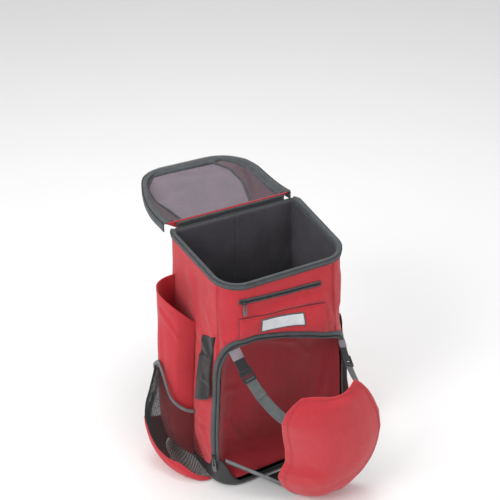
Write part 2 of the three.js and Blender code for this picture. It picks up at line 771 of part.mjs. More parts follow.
const lidAcross = [-1, -0.85, -0.7, -0.55, -0.3, 0, 0.3, 0.55, 0.7, 0.85, 1];
const lidAlong = [0, 0.012, 0.04, 0.2, 0.4, 0.6, 0.78, 0.88, 0.95, 0.985, 1];
addMesh('lid_shell', sheet({
  us: lidAcross,
  vs: lidAlong,
  place: (across, share) => lidPoint(across, share, 0),
  wall: -lidWall,
}), red);
addMesh('lid_lining', sheet({
  us: lidAcross,
  vs: lidAlong,
  place: (across, share) => lidPoint(across, share, layerGap + 0.3),
  wall: lidLiningWall,
}), liningGrey);
addMesh('lid_hinge', band(
  steps(-1, 1, 6).map((t) => ({
    at: vec(lidShift * 0.5 + t * (bodyWidth / 2 - backCorner), hingeY, hingeZ - 15),
    across: vec(0, 0, 1),
    width: 30,
  })),
  -hingeWall,
), darkGrey);

function lidEdgeStops() {
  const shares = lidAlong.filter((share) => share !== 0.012);
  const edge = (sign) => shares.map((share) => lidPoint(sign, share, 0));
  const points = [...edge(-1), ...edge(1).reverse()];
  return points.map((at, i) => {
    const along = points[Math.min(i + 1, points.length - 1)].clone().sub(points[Math.max(i - 1, 0)]);
    const out = vec(-along.y, along.x, 0).normalize();
    const low = vec(0, 0, seatGap - rimZipWidth / 2);
    return {
      at: at.clone().addScaledVector(out, lidWall + zipThick + layerGap).add(low),
      across: vec(0, 0, 1),
      width: rimZipWidth,
    };
  });
}
addMesh('lid_zip', band(lidEdgeStops(), zipThick), darkGrey, 0.7);

// Side pockets
const sideSpan = (share, front, back) => mix(front, back, (1 - Math.cos(Math.PI * share)) / 2);

function sleevePoint(side, share, v) {
  const low = bootBilge + 4;
  const top = sleeveTop * mix(0.85, 1.0, 1 - (1 - share) ** 3.5);
  const z = mix(low, top, v);
  const bulge = sleeveBulge * read(sleeveRows, v, 'bulge') * Math.sin(Math.PI * share) ** 0.8;
  const y = sideSpan(share, -0.02 * bodyDepth / 2, 0.80 * bodyDepth / 2);
  return vec(side * (sideX(y, z) + sideGap + bulge), y, z);
}

const pocketEdge = (share) => pocketTop * read(pocketEdgeRows, share, 'edge');
const gussetTop = (share) => pocketBaseTop * read(pocketEdgeRows, share, 'gusset');

function pocketPoint(side, share, z, lift = 0) {
  const height = z / pocketTop;
  const bulge = pocketBulge * read(pocketRows, height, 'bulge') * Math.sin(Math.PI * share) ** 0.75;
  const front = read(pocketRows, height, 'front') * bodyDepth / 2 - 4;
  const y = sideSpan(share, front, 0.84 * bodyDepth / 2);
  return vec(side * (sideX(y, z) + sideGap + bulge + lift), y, z);
}

const pocketShares = steps(0, 1, 14);
for (const [side, label] of [[-1, 'left'], [1, 'right']]) {
  addMesh(`bat_sleeve_${label}`, sheet({
    us: steps(0, 1, 12),
    vs: [0, 0.03, 0.09, 0.25, 0.55, 0.8, 1],
    place: (share, v) => sleevePoint(side, share, v),
    wall: -side * sleeveWall,
  }), red);
  addMesh(`ball_pocket_base_${label}`, sheet({
    us: pocketShares,
    vs: [0, 0.35, 0.7, 1],
    place: (share, v) => pocketPoint(side, share, mix(4, gussetTop(share) - pocketSeam, v)),
    wall: -side * pocketWall,
  }), red);
  addMesh(`ball_pocket_net_${label}`, sheet({
    us: pocketShares,
    vs: [0, 0.2, 0.4, 0.6, 0.8, 1],
    place: (share, v) => pocketPoint(side, share, mix(gussetTop(share), pocketEdge(share), v)),
    wall: -side * pocketWall,
  }), black);
  addMesh(`ball_pocket_binding_${label}`, band(
    pocketShares.map((share) => ({
      at: pocketPoint(side, share, pocketEdge(share)).add(vec(0, 0, bindingWidth / 2 + layerGap)),
      across: vec(0, 0, 1),
      width: bindingWidth,
    })),
    side * bindingThick,
  ), lightGrey);
}

// Hook and loop straps on the sides, hanging open. Columns are places round the body and
// height shares of the rear and the front edge, and the lift off the side face.
const hookRowsUpper = [
  { rear: 2.21, rearHeight: 0.710, front: 1.84, frontHeight: 0.753, lift: 1.0 },
  { rear: 2.23, rearHeight: 0.655, front: 1.87, frontHeight: 0.702, lift: 1.6 },
  { rear: 2.25, rearHeight: 0.598, front: 1.90, frontHeight: 0.648, lift: 2.4 },
];
const hookRowsLower = [
  { rear: 2.24, rearHeight: 0.615, front: 1.89, frontHeight: 0.662, lift: 4.7 },
  { rear: 2.25, rearHeight: 0.550, front: 1.89, frontHeight: 0.608, lift: 6.4 },
  { rear: 2.26, rearHeight: 0.470, front: 1.89, frontHeight: 0.538, lift: 8.0 },
  { rear: 2.28, rearHeight: 0.386, front: 1.90, frontHeight: 0.460, lift: 8.6 },
];
for (const [side, label] of [[-1, 'left'], [1, 'right']]) {
  const strip = (name, rows) => addMesh(`${name}_${label}`, sheet({
    us: rows.map((_, i) => i),
    vs: [0, 0.5, 1],
    place: (i, v) => {
      const { rear, rearHeight, front, frontHeight, lift } = rows[i];
      return bodyPoint(side * mix(rear, front, v), rimHeight * mix(rearHeight, frontHeight, v), lift);
    },
    wall: -side * hookStrapThick,
  }), black);
  strip('hook_strap_upper', hookRowsUpper);
  strip('hook_strap_lower', hookRowsLower);
}

// Back pad, shoulder straps and haul handle
const padBack = bodyDepth / 2 + seatGap;
const padLow = rimHeight * 0.14;
const padHigh = rimHeight * 0.90;
addMesh('back_pad', sheet({
  us: [-1, -0.96, -0.5, 0, 0.5, 0.96, 1],
  vs: [0, 0.03, 0.35, 0.65, 0.97, 1],
  place: (x, v) => {
    const edge = (Math.abs(x) > 0.97 ? 0.35 : 1) * (v < 0.01 || v > 0.99 ? 0.35 : 1);
    return vec(x * backPadHalf, padBack + backPadThick * edge, mix(padLow, padHigh, v));
  },
  lining: (x, v) => vec(x * backPadHalf, padBack, mix(padLow, padHigh, v)),
}), darkGrey);

// Rows of a strap behind the bag: distance behind the pad, height as a share of rim height,
// place across as a share of shoulderSpread.
const shoulderRows = [
  { out: 0, height: 0.780, x: 0.80 },
  { out: 0, height: 0.840, x: 0.80 },
  { out: 5, height: 0.868, x: 0.80 },
  { out: 26, height: 0.876, x: 0.82 },
  { out: 46, height: 0.840, x: 0.88 },
  { out: 57, height: 0.740, x: 0.96 },
  { out: 57, height: 0.610, x: 1.04 },
  { out: 48, height: 0.480, x: 1.12 },
];
const lowerWebRows = [
  { out: 40, height: 0.478, x: 1.12 },
  { out: 30, height: 0.350, x: 1.20 },
  { out: 12, height: 0.240, x: 1.30 },
  { out: 1.9, height: 0.180, x: 1.36 },
  { out: 1.9, height: 0.150, x: 1.37 },
];
const padFace = padBack + backPadThick + seatGap;
function backStrap(name, side, rows, width, thick, colour) {
  const stops = rows.map(({ out, height, x }) => ({
    at: vec(side * shoulderSpread * x, padFace + out, rimHeight * height),
    across: vec(1, 0, 0),
    width,
  }));
  addMesh(name, band(stops, thick), colour);
}
for (const [side, label] of [[-1, 'left'], [1, 'right']]) {
  backStrap(`shoulder_strap_${label}`, side, shoulderRows, shoulderWidth, shoulderThick, darkGrey);
  backStrap(`lower_web_${label}`, side, lowerWebRows, lowerWebWidth, webThick, black);
}

const handleZ = rimHeight * 0.938;
const handleTab = 14;
const handleXs = [-handleHalf - handleTab, ...steps(-handleHalf, handleHalf, 8), handleHalf + handleTab];
addMesh('haul_handle', band(
  handleXs.map((x) => ({
    at: vec(x, padBack + handleThick + handleOut * Math.max(1 - (x / handleHalf) ** 4, 0), handleZ),
    across: vec(0, 0, 1),
    width: handleWidth,
  })),
  handleThick,
), black);

// The origin is under the middle of the whole bag.
const box = new THREE.Box3().setFromObject(built);
const middle = box.getCenter(vec(0, 0, 0));
built.position.set(-middle.x, -middle.y, -box.min.z);

export default built;
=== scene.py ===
# Looks of the baseball bat backpack: cloth panels, zips, straps, net and stitching.
# Lengths are in millimetres until a piece is built. Turn runs round the body as in the solids:
# 0 at the middle of the front, 1 to 2 the front corner, 2 to 3 the side, 5 at the middle of the back.
import math

import bpy
import numpy as np
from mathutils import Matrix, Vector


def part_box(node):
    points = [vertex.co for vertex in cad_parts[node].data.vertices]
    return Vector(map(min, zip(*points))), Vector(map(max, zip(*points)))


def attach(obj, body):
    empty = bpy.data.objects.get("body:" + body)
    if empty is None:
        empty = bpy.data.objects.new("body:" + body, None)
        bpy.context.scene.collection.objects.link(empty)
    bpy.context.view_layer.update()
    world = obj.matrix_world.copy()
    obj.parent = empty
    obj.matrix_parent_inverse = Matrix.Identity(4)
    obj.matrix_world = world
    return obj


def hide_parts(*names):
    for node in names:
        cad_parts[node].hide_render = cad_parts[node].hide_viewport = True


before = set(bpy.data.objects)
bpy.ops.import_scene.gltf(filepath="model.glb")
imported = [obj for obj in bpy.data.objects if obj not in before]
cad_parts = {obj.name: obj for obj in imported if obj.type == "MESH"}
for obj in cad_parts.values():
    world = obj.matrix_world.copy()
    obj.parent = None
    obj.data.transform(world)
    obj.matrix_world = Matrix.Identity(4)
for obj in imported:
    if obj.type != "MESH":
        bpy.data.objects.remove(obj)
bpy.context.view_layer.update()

RIM, WIDTH, DEPTH = 467.0, 266.0, 208.0
BACK_RISE, BACK_FLARE = 23.0, 7.0
FRONT_CORNER, BACK_CORNER = 50.0, 16.0
PANEL, LAYER, ZIP = 3.0, 0.7, 1.6
BOOT_BILGE, BOOT_WALL = 14.0, 3.0
CUP_HEIGHT, CUP_HALF, CUP_REACH = 297.0, 100.0, 76.0
LID_LENGTH, LID_DROP, LID_SHIFT = 222.0, 42.0, -8.0
HINGE_Z, HINGE_Y = RIM + BACK_RISE + 10.0, DEPTH / 2 + LAYER
LID_START = HINGE_Y + 5.6
POCKET_TOP, POCKET_BASE = 240.0, 109.0
CUP_SAG, CUP_WALL, CUP_GAP = 0.438, 2.8, 0.3
TRAY_ROUND, TRAY_FLAT_ROUND, TRAY_FLAT = 1.43, 0.54, 0.6
TRAY_LENGTH, TRAY_EDGE_START, TRAY_FLOOR = 76.0, RIM * 0.15, 1.0
TRAY_KEEL_HALF, TRAY_END_HALF, TRAY_END_HEIGHT, TRAY_SHIFT = 22.0, 52.0, 26.0, 12.0
TRAY_WALL, TRAY_TAPE_RISE = 2.5, 6.4
PATCH_FROM, PATCH_TO = -1.23, 0.85
STRAP_TURN, STRAP_LIFT, BUCKLE_AT, BUCKLE_HALF, STRAP_SAG = 1.34, 1.6, 0.27, 12.3, 80.0
STRAP_DROP = {"left": 2.2, "right": 5.6}
# Pitch, length, width and height of a stitch
SMALL_STITCH, FINE_STITCH = (3.6, 2.5, 0.6, 0.5), (3, 2.1, 0.6, 0.5)
PAD_HALF, PAD_THICK, STRAP_HALF, STRAP_APART = 104.0, 14.0, 31.0, 62.0


def table(names, *rows):
    values = np.array(rows, float)
    return {name: values[:, i] for i, name in enumerate(names.split())}


body_shape = table(
    "at half front",
    (0.000, 1.12, 1.04), (0.030, 1.145, 1.08), (0.155, 1.145, 1.09), (0.535, 1.08, 1.07),
    (0.750, 1.03, 1.05), (0.900, 1.01, 1.02), (1.000, 1.00, 1.00),
)
opening_rows = table(
    "turn height",
    (-1.74, 0.150), (-1.76, 0.270), (-1.77, 0.400), (-1.76, 0.540), (-1.73, 0.620), (-1.66, 0.664),
    (-1.48, 0.722), (-1.25, 0.749), (-0.90, 0.754), (-0.45, 0.739), (0.00, 0.721), (0.45, 0.704),
    (0.90, 0.668), (1.25, 0.632), (1.48, 0.590), (1.66, 0.530), (1.73, 0.470), (1.76, 0.400),
    (1.76, 0.270), (1.74, 0.150),
)
boot_edge = table(
    "at height",
    (0.0, 0.030), (1.0, 0.030), (1.25, 0.060), (1.5, 0.140), (1.8, 0.155), (2.0, 0.085), (2.3, 0.062),
    (5.0, 0.062),
)
cup_rows = table(
    "at left right back_left back_right middle",
    (0.012, -0.16, 0.60, 0.01, 0.05, 0.18), (0.040, -0.30, 0.82, 0.02, 0.22, 0.42),
    (0.090, -0.44, 1.00, 0.03, 0.40, 0.64), (0.160, -0.59, 1.11, 0.03, 0.48, 0.79),
    (0.250, -0.69, 1.22, 0.04, 0.54, 0.92), (0.320, -0.67, 1.26, 0.10, 0.58, 0.98),
    (0.400, -0.60, 1.29, 0.17, 0.61, 1.02), (0.520, -0.64, 1.30, 0.24, 0.64, 1.05),
    (0.670, -0.74, 1.21, 0.32, 0.66, 1.06), (0.790, -0.81, 1.05, 0.42, 0.68, 1.02),
    (0.880, -0.76, 0.90, 0.50, 0.70, 0.96), (0.950, -0.66, 0.74, 0.60, 0.70, 0.87),
    (1.000, -0.54, 0.58, 0.68, 0.70, 0.80),
)
lid_rows = table(
    "at left right seam drop",
    (0.000, 1.02, 1.02, 0.50, 0.00), (0.012, 1.02, 1.02, 0.50, 0.86), (0.040, 1.02, 1.01, 0.51, 1.00),
    (0.200, 1.02, 0.99, 0.57, 0.92), (0.400, 0.98, 1.00, 0.66, 0.76), (0.600, 0.89, 1.02, 0.74, 0.60),
    (0.780, 0.78, 0.98, 0.72, 0.44), (0.880, 0.69, 0.88, 0.62, 0.30), (0.950, 0.56, 0.75, 0.50, 0.18),
    (0.985, 0.44, 0.62, 0.38, 0.08), (1.000, 0.32, 0.50, 0.26, 0.02),
)
sleeve_rows = table(
    "at bulge",
    (0.000, 0.16), (0.030, 0.46), (0.090, 0.70), (0.250, 0.86), (0.550, 0.95), (0.800, 1.00), (1.000, 1.06),
)
pocket_rows = table(
    "at bulge front",
    (0.000, 0.50, -0.62), (0.045, 0.72, -0.60), (0.120, 0.90, -0.50), (0.250, 1.02, -0.20),
    (0.420, 1.08, -0.05), (0.560, 1.05, -0.04), (0.700, 0.93, -0.04), (0.850, 0.80, -0.04),
    (1.000, 0.73, -0.04),
)
pocket_edge_rows = table(
    "at height gusset",
    (0, 0.55, 0.11), (0.1, 0.64, 0.20), (0.2, 0.725, 0.38), (0.3, 0.835, 0.42), (0.4, 0.945, 0.55),
    (0.5, 1.0, 0.95), (0.6, 0.95, 1.0), (0.8, 0.82, 0.76), (1, 0.72, 0.56),
)


def read(rows, at, name):
    """A smooth reading of one column that never overshoots its rows."""
    x, y = rows["at"], rows[name]
    slope = np.diff(y) / np.diff(x)
    lean = np.zeros_like(y)
    lean[0], lean[-1] = slope[0], slope[-1]
    same = slope[:-1] * slope[1:] > 0
    lean[1:-1][same] = 2 * slope[:-1][same] * slope[1:][same] / (slope[:-1] + slope[1:])[same]
    at = np.clip(at, x[0], x[-1])
    i = np.clip(np.searchsorted(x, at, side="right") - 1, 0, len(x) - 2)
    h = x[i + 1] - x[i]
    t = (at - x[i]) / h
    return (
        (1 + 2 * t) * (1 - t) ** 2 * y[i] + t * (1 - t) ** 2 * h * lean[i]
        + t * t * (3 - 2 * t) * y[i + 1] + t * t * (t - 1) * h * lean[i + 1]
    )


def mix(a, b, t):
    return a + (b - a) * t


def ease(t):
    t = np.clip(t, 0, 1)
    return t * t * (3 - 2 * t)


def points(x, y, z):
    return np.stack(np.broadcast_arrays(x, y, z), -1).astype(float)


def unit(v):
    return v / np.maximum(np.linalg.norm(v, axis=-1, keepdims=True), 1e-9)


def noise(x, y, seed):
    """Smooth value noise from -1 to 1."""
    x, y = np.broadcast_arrays(np.asarray(x, float), np.asarray(y, float))
    i, j = np.floor(x).astype(np.int64), np.floor(y).astype(np.int64)
    u, v = ease(x - i), ease(y - j)

    def at(a, b):
        n = (a * 374761393 + b * 668265263 + seed * 144665) & 0x7FFFFFFF
        n = ((n ^ (n >> 13)) * 1274126177) & 0x7FFFFFFF
        return ((n ^ (n >> 16)) & 0xFFFF) / 32767.5 - 1

    return mix(mix(at(i, j), at(i + 1, j), u), mix(at(i, j + 1), at(i + 1, j + 1), u), v)


def folds(s, z, rows):
    """Soft folds in a cloth laid flat: start, end, half width and height of each."""
    total = np.zeros(np.broadcast(s, z).shape)
    for s0, z0, s1, z1, wide, high in rows:
        ds, dz = s1 - s0, z1 - z0
        length = math.hypot(ds, dz)
        t = ((s - s0) * ds + (z - z0) * dz) / length**2
        off = ((z - z0) * ds - (s - s0) * dz) / length / wide
        ends = ease(np.clip(t * 4 + 0.5, 0, 1)) * ease(np.clip((1 - t) * 4 + 0.5, 0, 1))
        total += high * ends * (np.exp(-off * off) - 0.55 * np.exp(-((off - 1.7) ** 2)))
    return total


# Body surface
def body_section(z):
    share = z / RIM
    return WIDTH / 2 * read(body_shape, share, "half"), -DEPTH / 2 * read(body_shape, share, "front")


def body_point(turn, z, lift=0.0):
    turn, z, lift = np.broadcast_arrays(np.asarray(turn, float),
        np.asarray(z, float), np.asarray(lift, float))
    half, front = body_section(z)
    side, place = np.where(turn < 0, -1.0, 1.0), np.abs(turn)
    corner = np.clip(place - 1, 0, 1) * math.pi / 2
    slump = 16 * np.exp(-(((turn - 0.62) / 0.55) ** 2) - ((z / RIM - 0.70) / 0.13) ** 2)
    x = np.minimum(place, 1) * (half - FRONT_CORNER) + (FRONT_CORNER + lift) * np.sin(corner)
    y = front + FRONT_CORNER - (FRONT_CORNER + lift) * np.cos(corner) - slump * (place <= 2)
    side_front, side_back = front + FRONT_CORNER, DEPTH / 2 - BACK_CORNER
    flank = (place > 2) & (place <= 3)
    x = np.where(flank, half + lift + BACK_FLARE * (place - 2), x)
    y = np.where(flank, mix(side_front, side_back, place - 2), y)
    turned = np.clip(place - 3, 0, 1) * math.pi / 2
    flat = half + BACK_FLARE - BACK_CORNER
    rear = place > 3
    x = np.where(rear,
        np.where(place > 4, flat * (5 - place), flat + (BACK_CORNER + lift) * np.cos(turned)), x)
    y = np.where(rear, side_back + (BACK_CORNER + lift) * np.sin(turned), y)
    return points(side * x, y, z)


def side_x(y, z):
    half, front = body_section(z)
    share = (y - front - FRONT_CORNER) / (DEPTH / 2 - BACK_CORNER - front - FRONT_CORNER)
    return half + BACK_FLARE * np.clip(share, 0, 1)


def rim_z(turn):
    share = (body_point(turn, RIM)[..., 1] + DEPTH / 2) / DEPTH
    return RIM + BACK_RISE * np.clip(share, 0, 1)


def boot_z(turn):
    return RIM * read(boot_edge, np.abs(turn), "height")


ARC = (0.0, 83.0, 161.5, 303.5, 328.6, 453.0)


def laid(turn):
    """Distance round the body from the middle of the front."""
    return np.sign(turn) * np.interp(np.abs(turn), range(6), ARC)


def turned(s):
    return np.sign(s) * np.interp(np.abs(s), ARC, range(6))


opening_top = {"at": opening_rows["turn"][4:17], "z": opening_rows["height"][4:17] * RIM}


def opening_z(turn):
    return read(opening_top, turn, "z")


# Folds of the body cloth: start and end (distance round, height), half width, height
BODY_FOLDS = (
    (-134, 350, -96, 372, 7, 2.4), (-126, 340, -104, 350, 5, 1.4), (-100, 376, -20, 396, 10, 1.6),
    (-62, 402, 74, 396, 8, 3.0), (-50, 391, 60, 386, 6, -2.0), (118, 350, 150, 300, 22, -3.6),
    (20, 366, 95, 340, 14, 2.2), (-128, 330, -142, 412, 7, 1.6), (-150, 322, -176, 388, 9, 1.8),
    (-166, 300, -205, 330, 10, 2.2), (-176, 250, -192, 130, 12, 2.4), (-196, 120, -160, 70, 9, 2.6),
    (-186, 160, -214, 60, 10, 2.0), (-240, 440, -222, 330, 14, 2.0), (-170, 440, -196, 400, 8, -1.4),
    (-250, 300, -230, 200, 12, 1.6), (-158, 210, -178, 196, 5, 1.4), (-158, 250, -180, 246, 5, 1.2),
    (60, 420, 86, 330, 10, 1.6), (130, 420, 118, 330, 9, 1.8), (150, 300, 190, 330, 10, 1.8),
    (176, 240, 196, 120, 12, 2.2), (190, 110, 160, 70, 9, 2.0), (220, 430, 250, 330, 12, 1.8),
)


def body_relief(turn, z):
    s = laid(turn)
    soft = (
        1.5 * noise(s / 62, z / 88, 3) + 0.7 * noise(s / 26 + 7, z / 33, 5)
        + 0.25 * noise(s / 11, z / 13, 9)
    )
    calm = 0.15 + 0.85 * ease((rim_z(turn) - z) / 34)
    back = 1 - 0.7 * (np.abs(turn) > 3.2)
    return (folds(s, z, BODY_FOLDS) + soft) * calm * back


def body_at(turn, z, lift=0.0):
    return body_point(turn, z, lift + body_relief(turn, z))


# Mesh building
class Piece:
    def __init__(self, name):
        self.name, self.size = name, 0
        self.points, self.uv, self.faces = [], [], []

    def add(self, where, uv):
        start = self.size
        self.points.append(where.reshape(-1, 3))
        self.uv.append(np.broadcast_to(uv, where.shape[:-1] + (2,)).reshape(-1, 2))
        self.size += len(self.points[-1])
        return start

    def face(self, corners, slot=0):
        self.faces.append((np.asarray(corners).reshape(-1, np.asarray(corners).shape[-1]), slot))

    def build(self, materials, replaces=()):
        mesh = bpy.data.meshes.new(self.name)
        where, uv = np.concatenate(self.points) * 0.001 + OFFSET, np.concatenate(self.uv) * 0.001
        loops = np.concatenate([corners.ravel() for corners, _ in self.faces])
        totals = np.concatenate([np.full(len(corners), corners.shape[1]) for corners, _ in self.faces])
        slots = np.concatenate([np.full(len(corners), used) for corners, used in self.faces])
        mesh.vertices.add(len(where))
        mesh.vertices.foreach_set("co", where.ravel())
        mesh.loops.add(len(loops))
        mesh.loops.foreach_set("vertex_index", loops)
        mesh.polygons.add(len(totals))
        mesh.polygons.foreach_set("loop_start", np.concatenate([[0], np.cumsum(totals)[:-1]]))
        mesh.polygons.foreach_set("loop_total", totals)
        mesh.polygons.foreach_set("material_index", slots)
        mesh.polygons.foreach_set("use_smooth", np.ones(len(totals), bool))
        layer = mesh.uv_layers.new(name="cloth")
        layer.data.foreach_set("uv", uv[loops].ravel())
        mesh.update(calc_edges=True)
        mesh.validate()
        for material in materials:
            mesh.materials.append(material)
        made = bpy.data.objects.new(self.name, mesh)
        bpy.context.scene.collection.objects.link(made)
        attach(made, "root")
        if replaces:
            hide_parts(*replaces)
        return made


OFFSET = np.array([0.0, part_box("back_panel")[1][1] - 0.104, 0.0])


def flat_size(where):
    """Distances along both ways of a grid, for the weave."""
    along = np.linalg.norm(np.diff(where, axis=0), axis=-1)
    across = np.linalg.norm(np.diff(where, axis=1), axis=-1)
    u = np.concatenate([np.zeros((1, where.shape[1])), np.cumsum(along, 0)])
    v = np.concatenate([np.zeros((where.shape[0], 1)), np.cumsum(across, 1)], 1)
    return np.stack([u - u[len(u) // 2], v], -1)


def grid_faces(start, n, m):
    i, j = np.meshgrid(np.arange(n - 1), np.arange(m - 1), indexing="ij")
    a = start + i * m + j
    return np.stack([a, a + m, a + m + 1, a + 1], -1).reshape(-1, 4)


def shell(piece, outer, inner, slots=(0, 0, 0), bead=0.42):
    """A closed cloth wall between two grids, with a rounded edge."""
    n, m = outer.shape[:2]
    uv = flat_size(outer)
    a, b = piece.add(outer, uv), piece.add(inner, uv)
    faces, back = grid_faces(a, n, m), grid_faces(b, n, m)[:, ::-1]
    flat_a, flat_b = outer.reshape(-1, 3), inner.reshape(-1, 3)
    first, second, third, fourth = (flat_a[faces[:, k] - a] for k in range(4))
    side = np.sum(np.cross(third - first, fourth - second) * (first - flat_b[faces[:, 0] - a]))
    ring = np.concatenate([
        np.arange(n) * m, (n - 1) * m + np.arange(1, m), np.arange(n - 2, -1, -1) * m + m - 1,
        np.arange(m - 2, 0, -1),
    ])
    i, j = ring // m, ring % m
    near = np.clip(i, 1, n - 2) * m + np.clip(j, 1, m - 2)
    out = unit(flat_a[ring] - flat_a[near])
    wide = np.linalg.norm(flat_a[ring] - flat_b[ring], axis=-1, keepdims=True)
    c = piece.add((flat_a[ring] + flat_b[ring]) / 2 + out * wide * bead, uv.reshape(-1, 2)[ring])
    k = np.arange(len(ring))
    after = np.roll(k, -1)
    rim_a = np.stack([a + ring[after], a + ring[k], c + k, c + after], -1)
    rim_b = np.stack([c + after, c + k, b + ring[k], b + ring[after]], -1)
    flip = slice(None, None, -1) if side < 0 else slice(None)
    piece.face(faces[:, flip], slots[0])
    piece.face(back[:, flip], slots[1])
    piece.face(rim_a[:, flip], slots[2])
    piece.face(rim_b[:, flip], slots[2])


def normals(where):
    du = np.gradient(where, axis=0)
    dv = np.gradient(where, axis=1)
    return unit(np.cross(du, dv))


def thickened(where, wall):
    return where + normals(where) * wall


def strip(piece, centre, across, up, xs, top, low, slots=(0, 0, 0)):
    """A band along a path, with heights over it given across its width."""
    xs, top, low = (np.broadcast_to(v, (len(centre), np.shape(v)[-1])) for v in (xs, top, low))
    lay = centre[:, None] + across[:, None] * xs[..., None]
    shell(piece, lay + up[:, None] * top[..., None], lay + up[:, None] * low[..., None], slots)


def tube(piece, centre, radius, up, sides=8, slot=0, flat=1.0, closed=False):
    along = np.roll(centre, -1, 0) - np.roll(centre, 1, 0) if closed else np.gradient(centre, axis=0)
    across = unit(np.cross(unit(along), up))
    up = unit(np.cross(across, along))
    angle = np.linspace(0, 2 * math.pi, sides, endpoint=False)
    radius = np.broadcast_to(radius, len(centre))[:, None, None]
    ring = across[:, None] * np.cos(angle)[None, :, None] + up[:, None] * np.sin(angle)[None, :, None] * flat
    where = centre[:, None] + ring * radius
    run = np.concatenate([[0], np.cumsum(np.linalg.norm(np.diff(centre, axis=0), axis=-1))])
    start = piece.add(where, np.stack(np.broadcast_arrays(run[:, None], angle * radius[:, :, 0]), -1))
    n = len(centre)
    i, j = np.meshgrid(np.arange(n if closed else n - 1), np.arange(sides), indexing="ij")
    a, b = i * sides, (i + 1) % n * sides
    k = (j + 1) % sides
    piece.face(start + np.stack([a + j, a + k, b + k, b + j], -1).reshape(-1, 4), slot)
    if not closed:
        for end, order in ((0, -1), (n - 1, 1)):
            piece.face((start + end * sides + np.arange(sides)[::order])[None], slot)


# A small part is copied along a path. It is a tapered pill, its long way first.
PILL = np.array([[-1, 0, 0], *[(x, 0.9 * math.cos(a), 0.9 * math.sin(a)) for x in (-0.62, 0.62)
                               for a in (0, math.pi / 2, math.pi, 3 * math.pi / 2)], [1, 0, 0]])
PILL_QUADS = np.array([[1 + k, 5 + k, 5 + (k + 1) % 4, 1 + (k + 1) % 4] for k in range(4)])
PILL_ENDS = (
    np.array([[0, 1 + k, 1 + (k + 1) % 4] for k in range(4)]
    + [[9, 5 + (k + 1) % 4, 5 + k] for k in range(4)])
)


def pills(piece, centre, along, up, size, slot=0):
    along, up = unit(along), unit(up)
    axes = np.stack([along, unit(np.cross(up, along)), up], 1)
    where = centre[:, None] + np.einsum("pk,nkx->npx", PILL * np.asarray(size) / 2, axes)
    start = piece.add(where, np.zeros(2))
    shift = start + 10 * np.arange(len(centre))[:, None, None]
    piece.face((PILL_QUADS + shift).reshape(-1, 4), slot)
    piece.face((PILL_ENDS + shift).reshape(-1, 3), slot)


def spaced(path, pitch, *others):
    """The path and what goes with it at even distances."""
    run = np.concatenate([[0], np.cumsum(np.linalg.norm(np.diff(path, axis=0), axis=-1))])
    count = max(int(run[-1] / pitch), 2)
    at = (np.arange(count) + 0.5) * run[-1] / count
    return [np.stack([np.interp(at, run, v[:, k]) for k in range(3)], -1)
            for v in (path, np.gradient(path, axis=0), *others)]


def stitches(piece, path, up, pitch=4.4, length=3.1, wide=0.75, high=0.7, slot=0):
    centre, along, over = spaced(path, pitch, up)
    pills(piece, centre, along, over, (length, wide, high), slot)


def teeth(piece, path, up, across=3.4, pitch=1.9, slot=0):
    centre, along, over = spaced(path, pitch, up)
    pills(piece, centre, np.cross(over, along), over, (across, 1.35, 1.5), slot)


def body_line(turn, z, lift):
    """A line on the body and the way out of the cloth along it."""
    where = body_at(turn, z, lift)
    return where, unit(body_point(turn, z, lift + 1) - body_point(turn, z, lift))


def block(piece, centre, axes, size, round_off, slot=0, cells=4):
    """A box with rounded edges and corners."""
    size = np.asarray(size, float) / 2
    t = np.linspace(-1, 1, cells + 1)
    t = np.sign(t) * np.abs(t) ** 0.6
    for k in range(3):
        for sign in (-1, 1):
            a, b = np.meshgrid(t, t, indexing="ij")
            where = np.zeros(a.shape + (3,))
            where[..., k], where[..., (k + 1) % 3], where[..., (k + 2) % 3] = sign, a * sign, b
            where = where * size
            core = np.clip(where, -(size - round_off), size - round_off)
            where = core + unit(where - core) * round_off
            where = centre + np.einsum("ijk,kx->ijx", where, np.asarray(axes))
            start = piece.add(where, np.stack([a, b], -1) * 4)
            piece.face(grid_faces(start, cells + 1, cells + 1), slot)


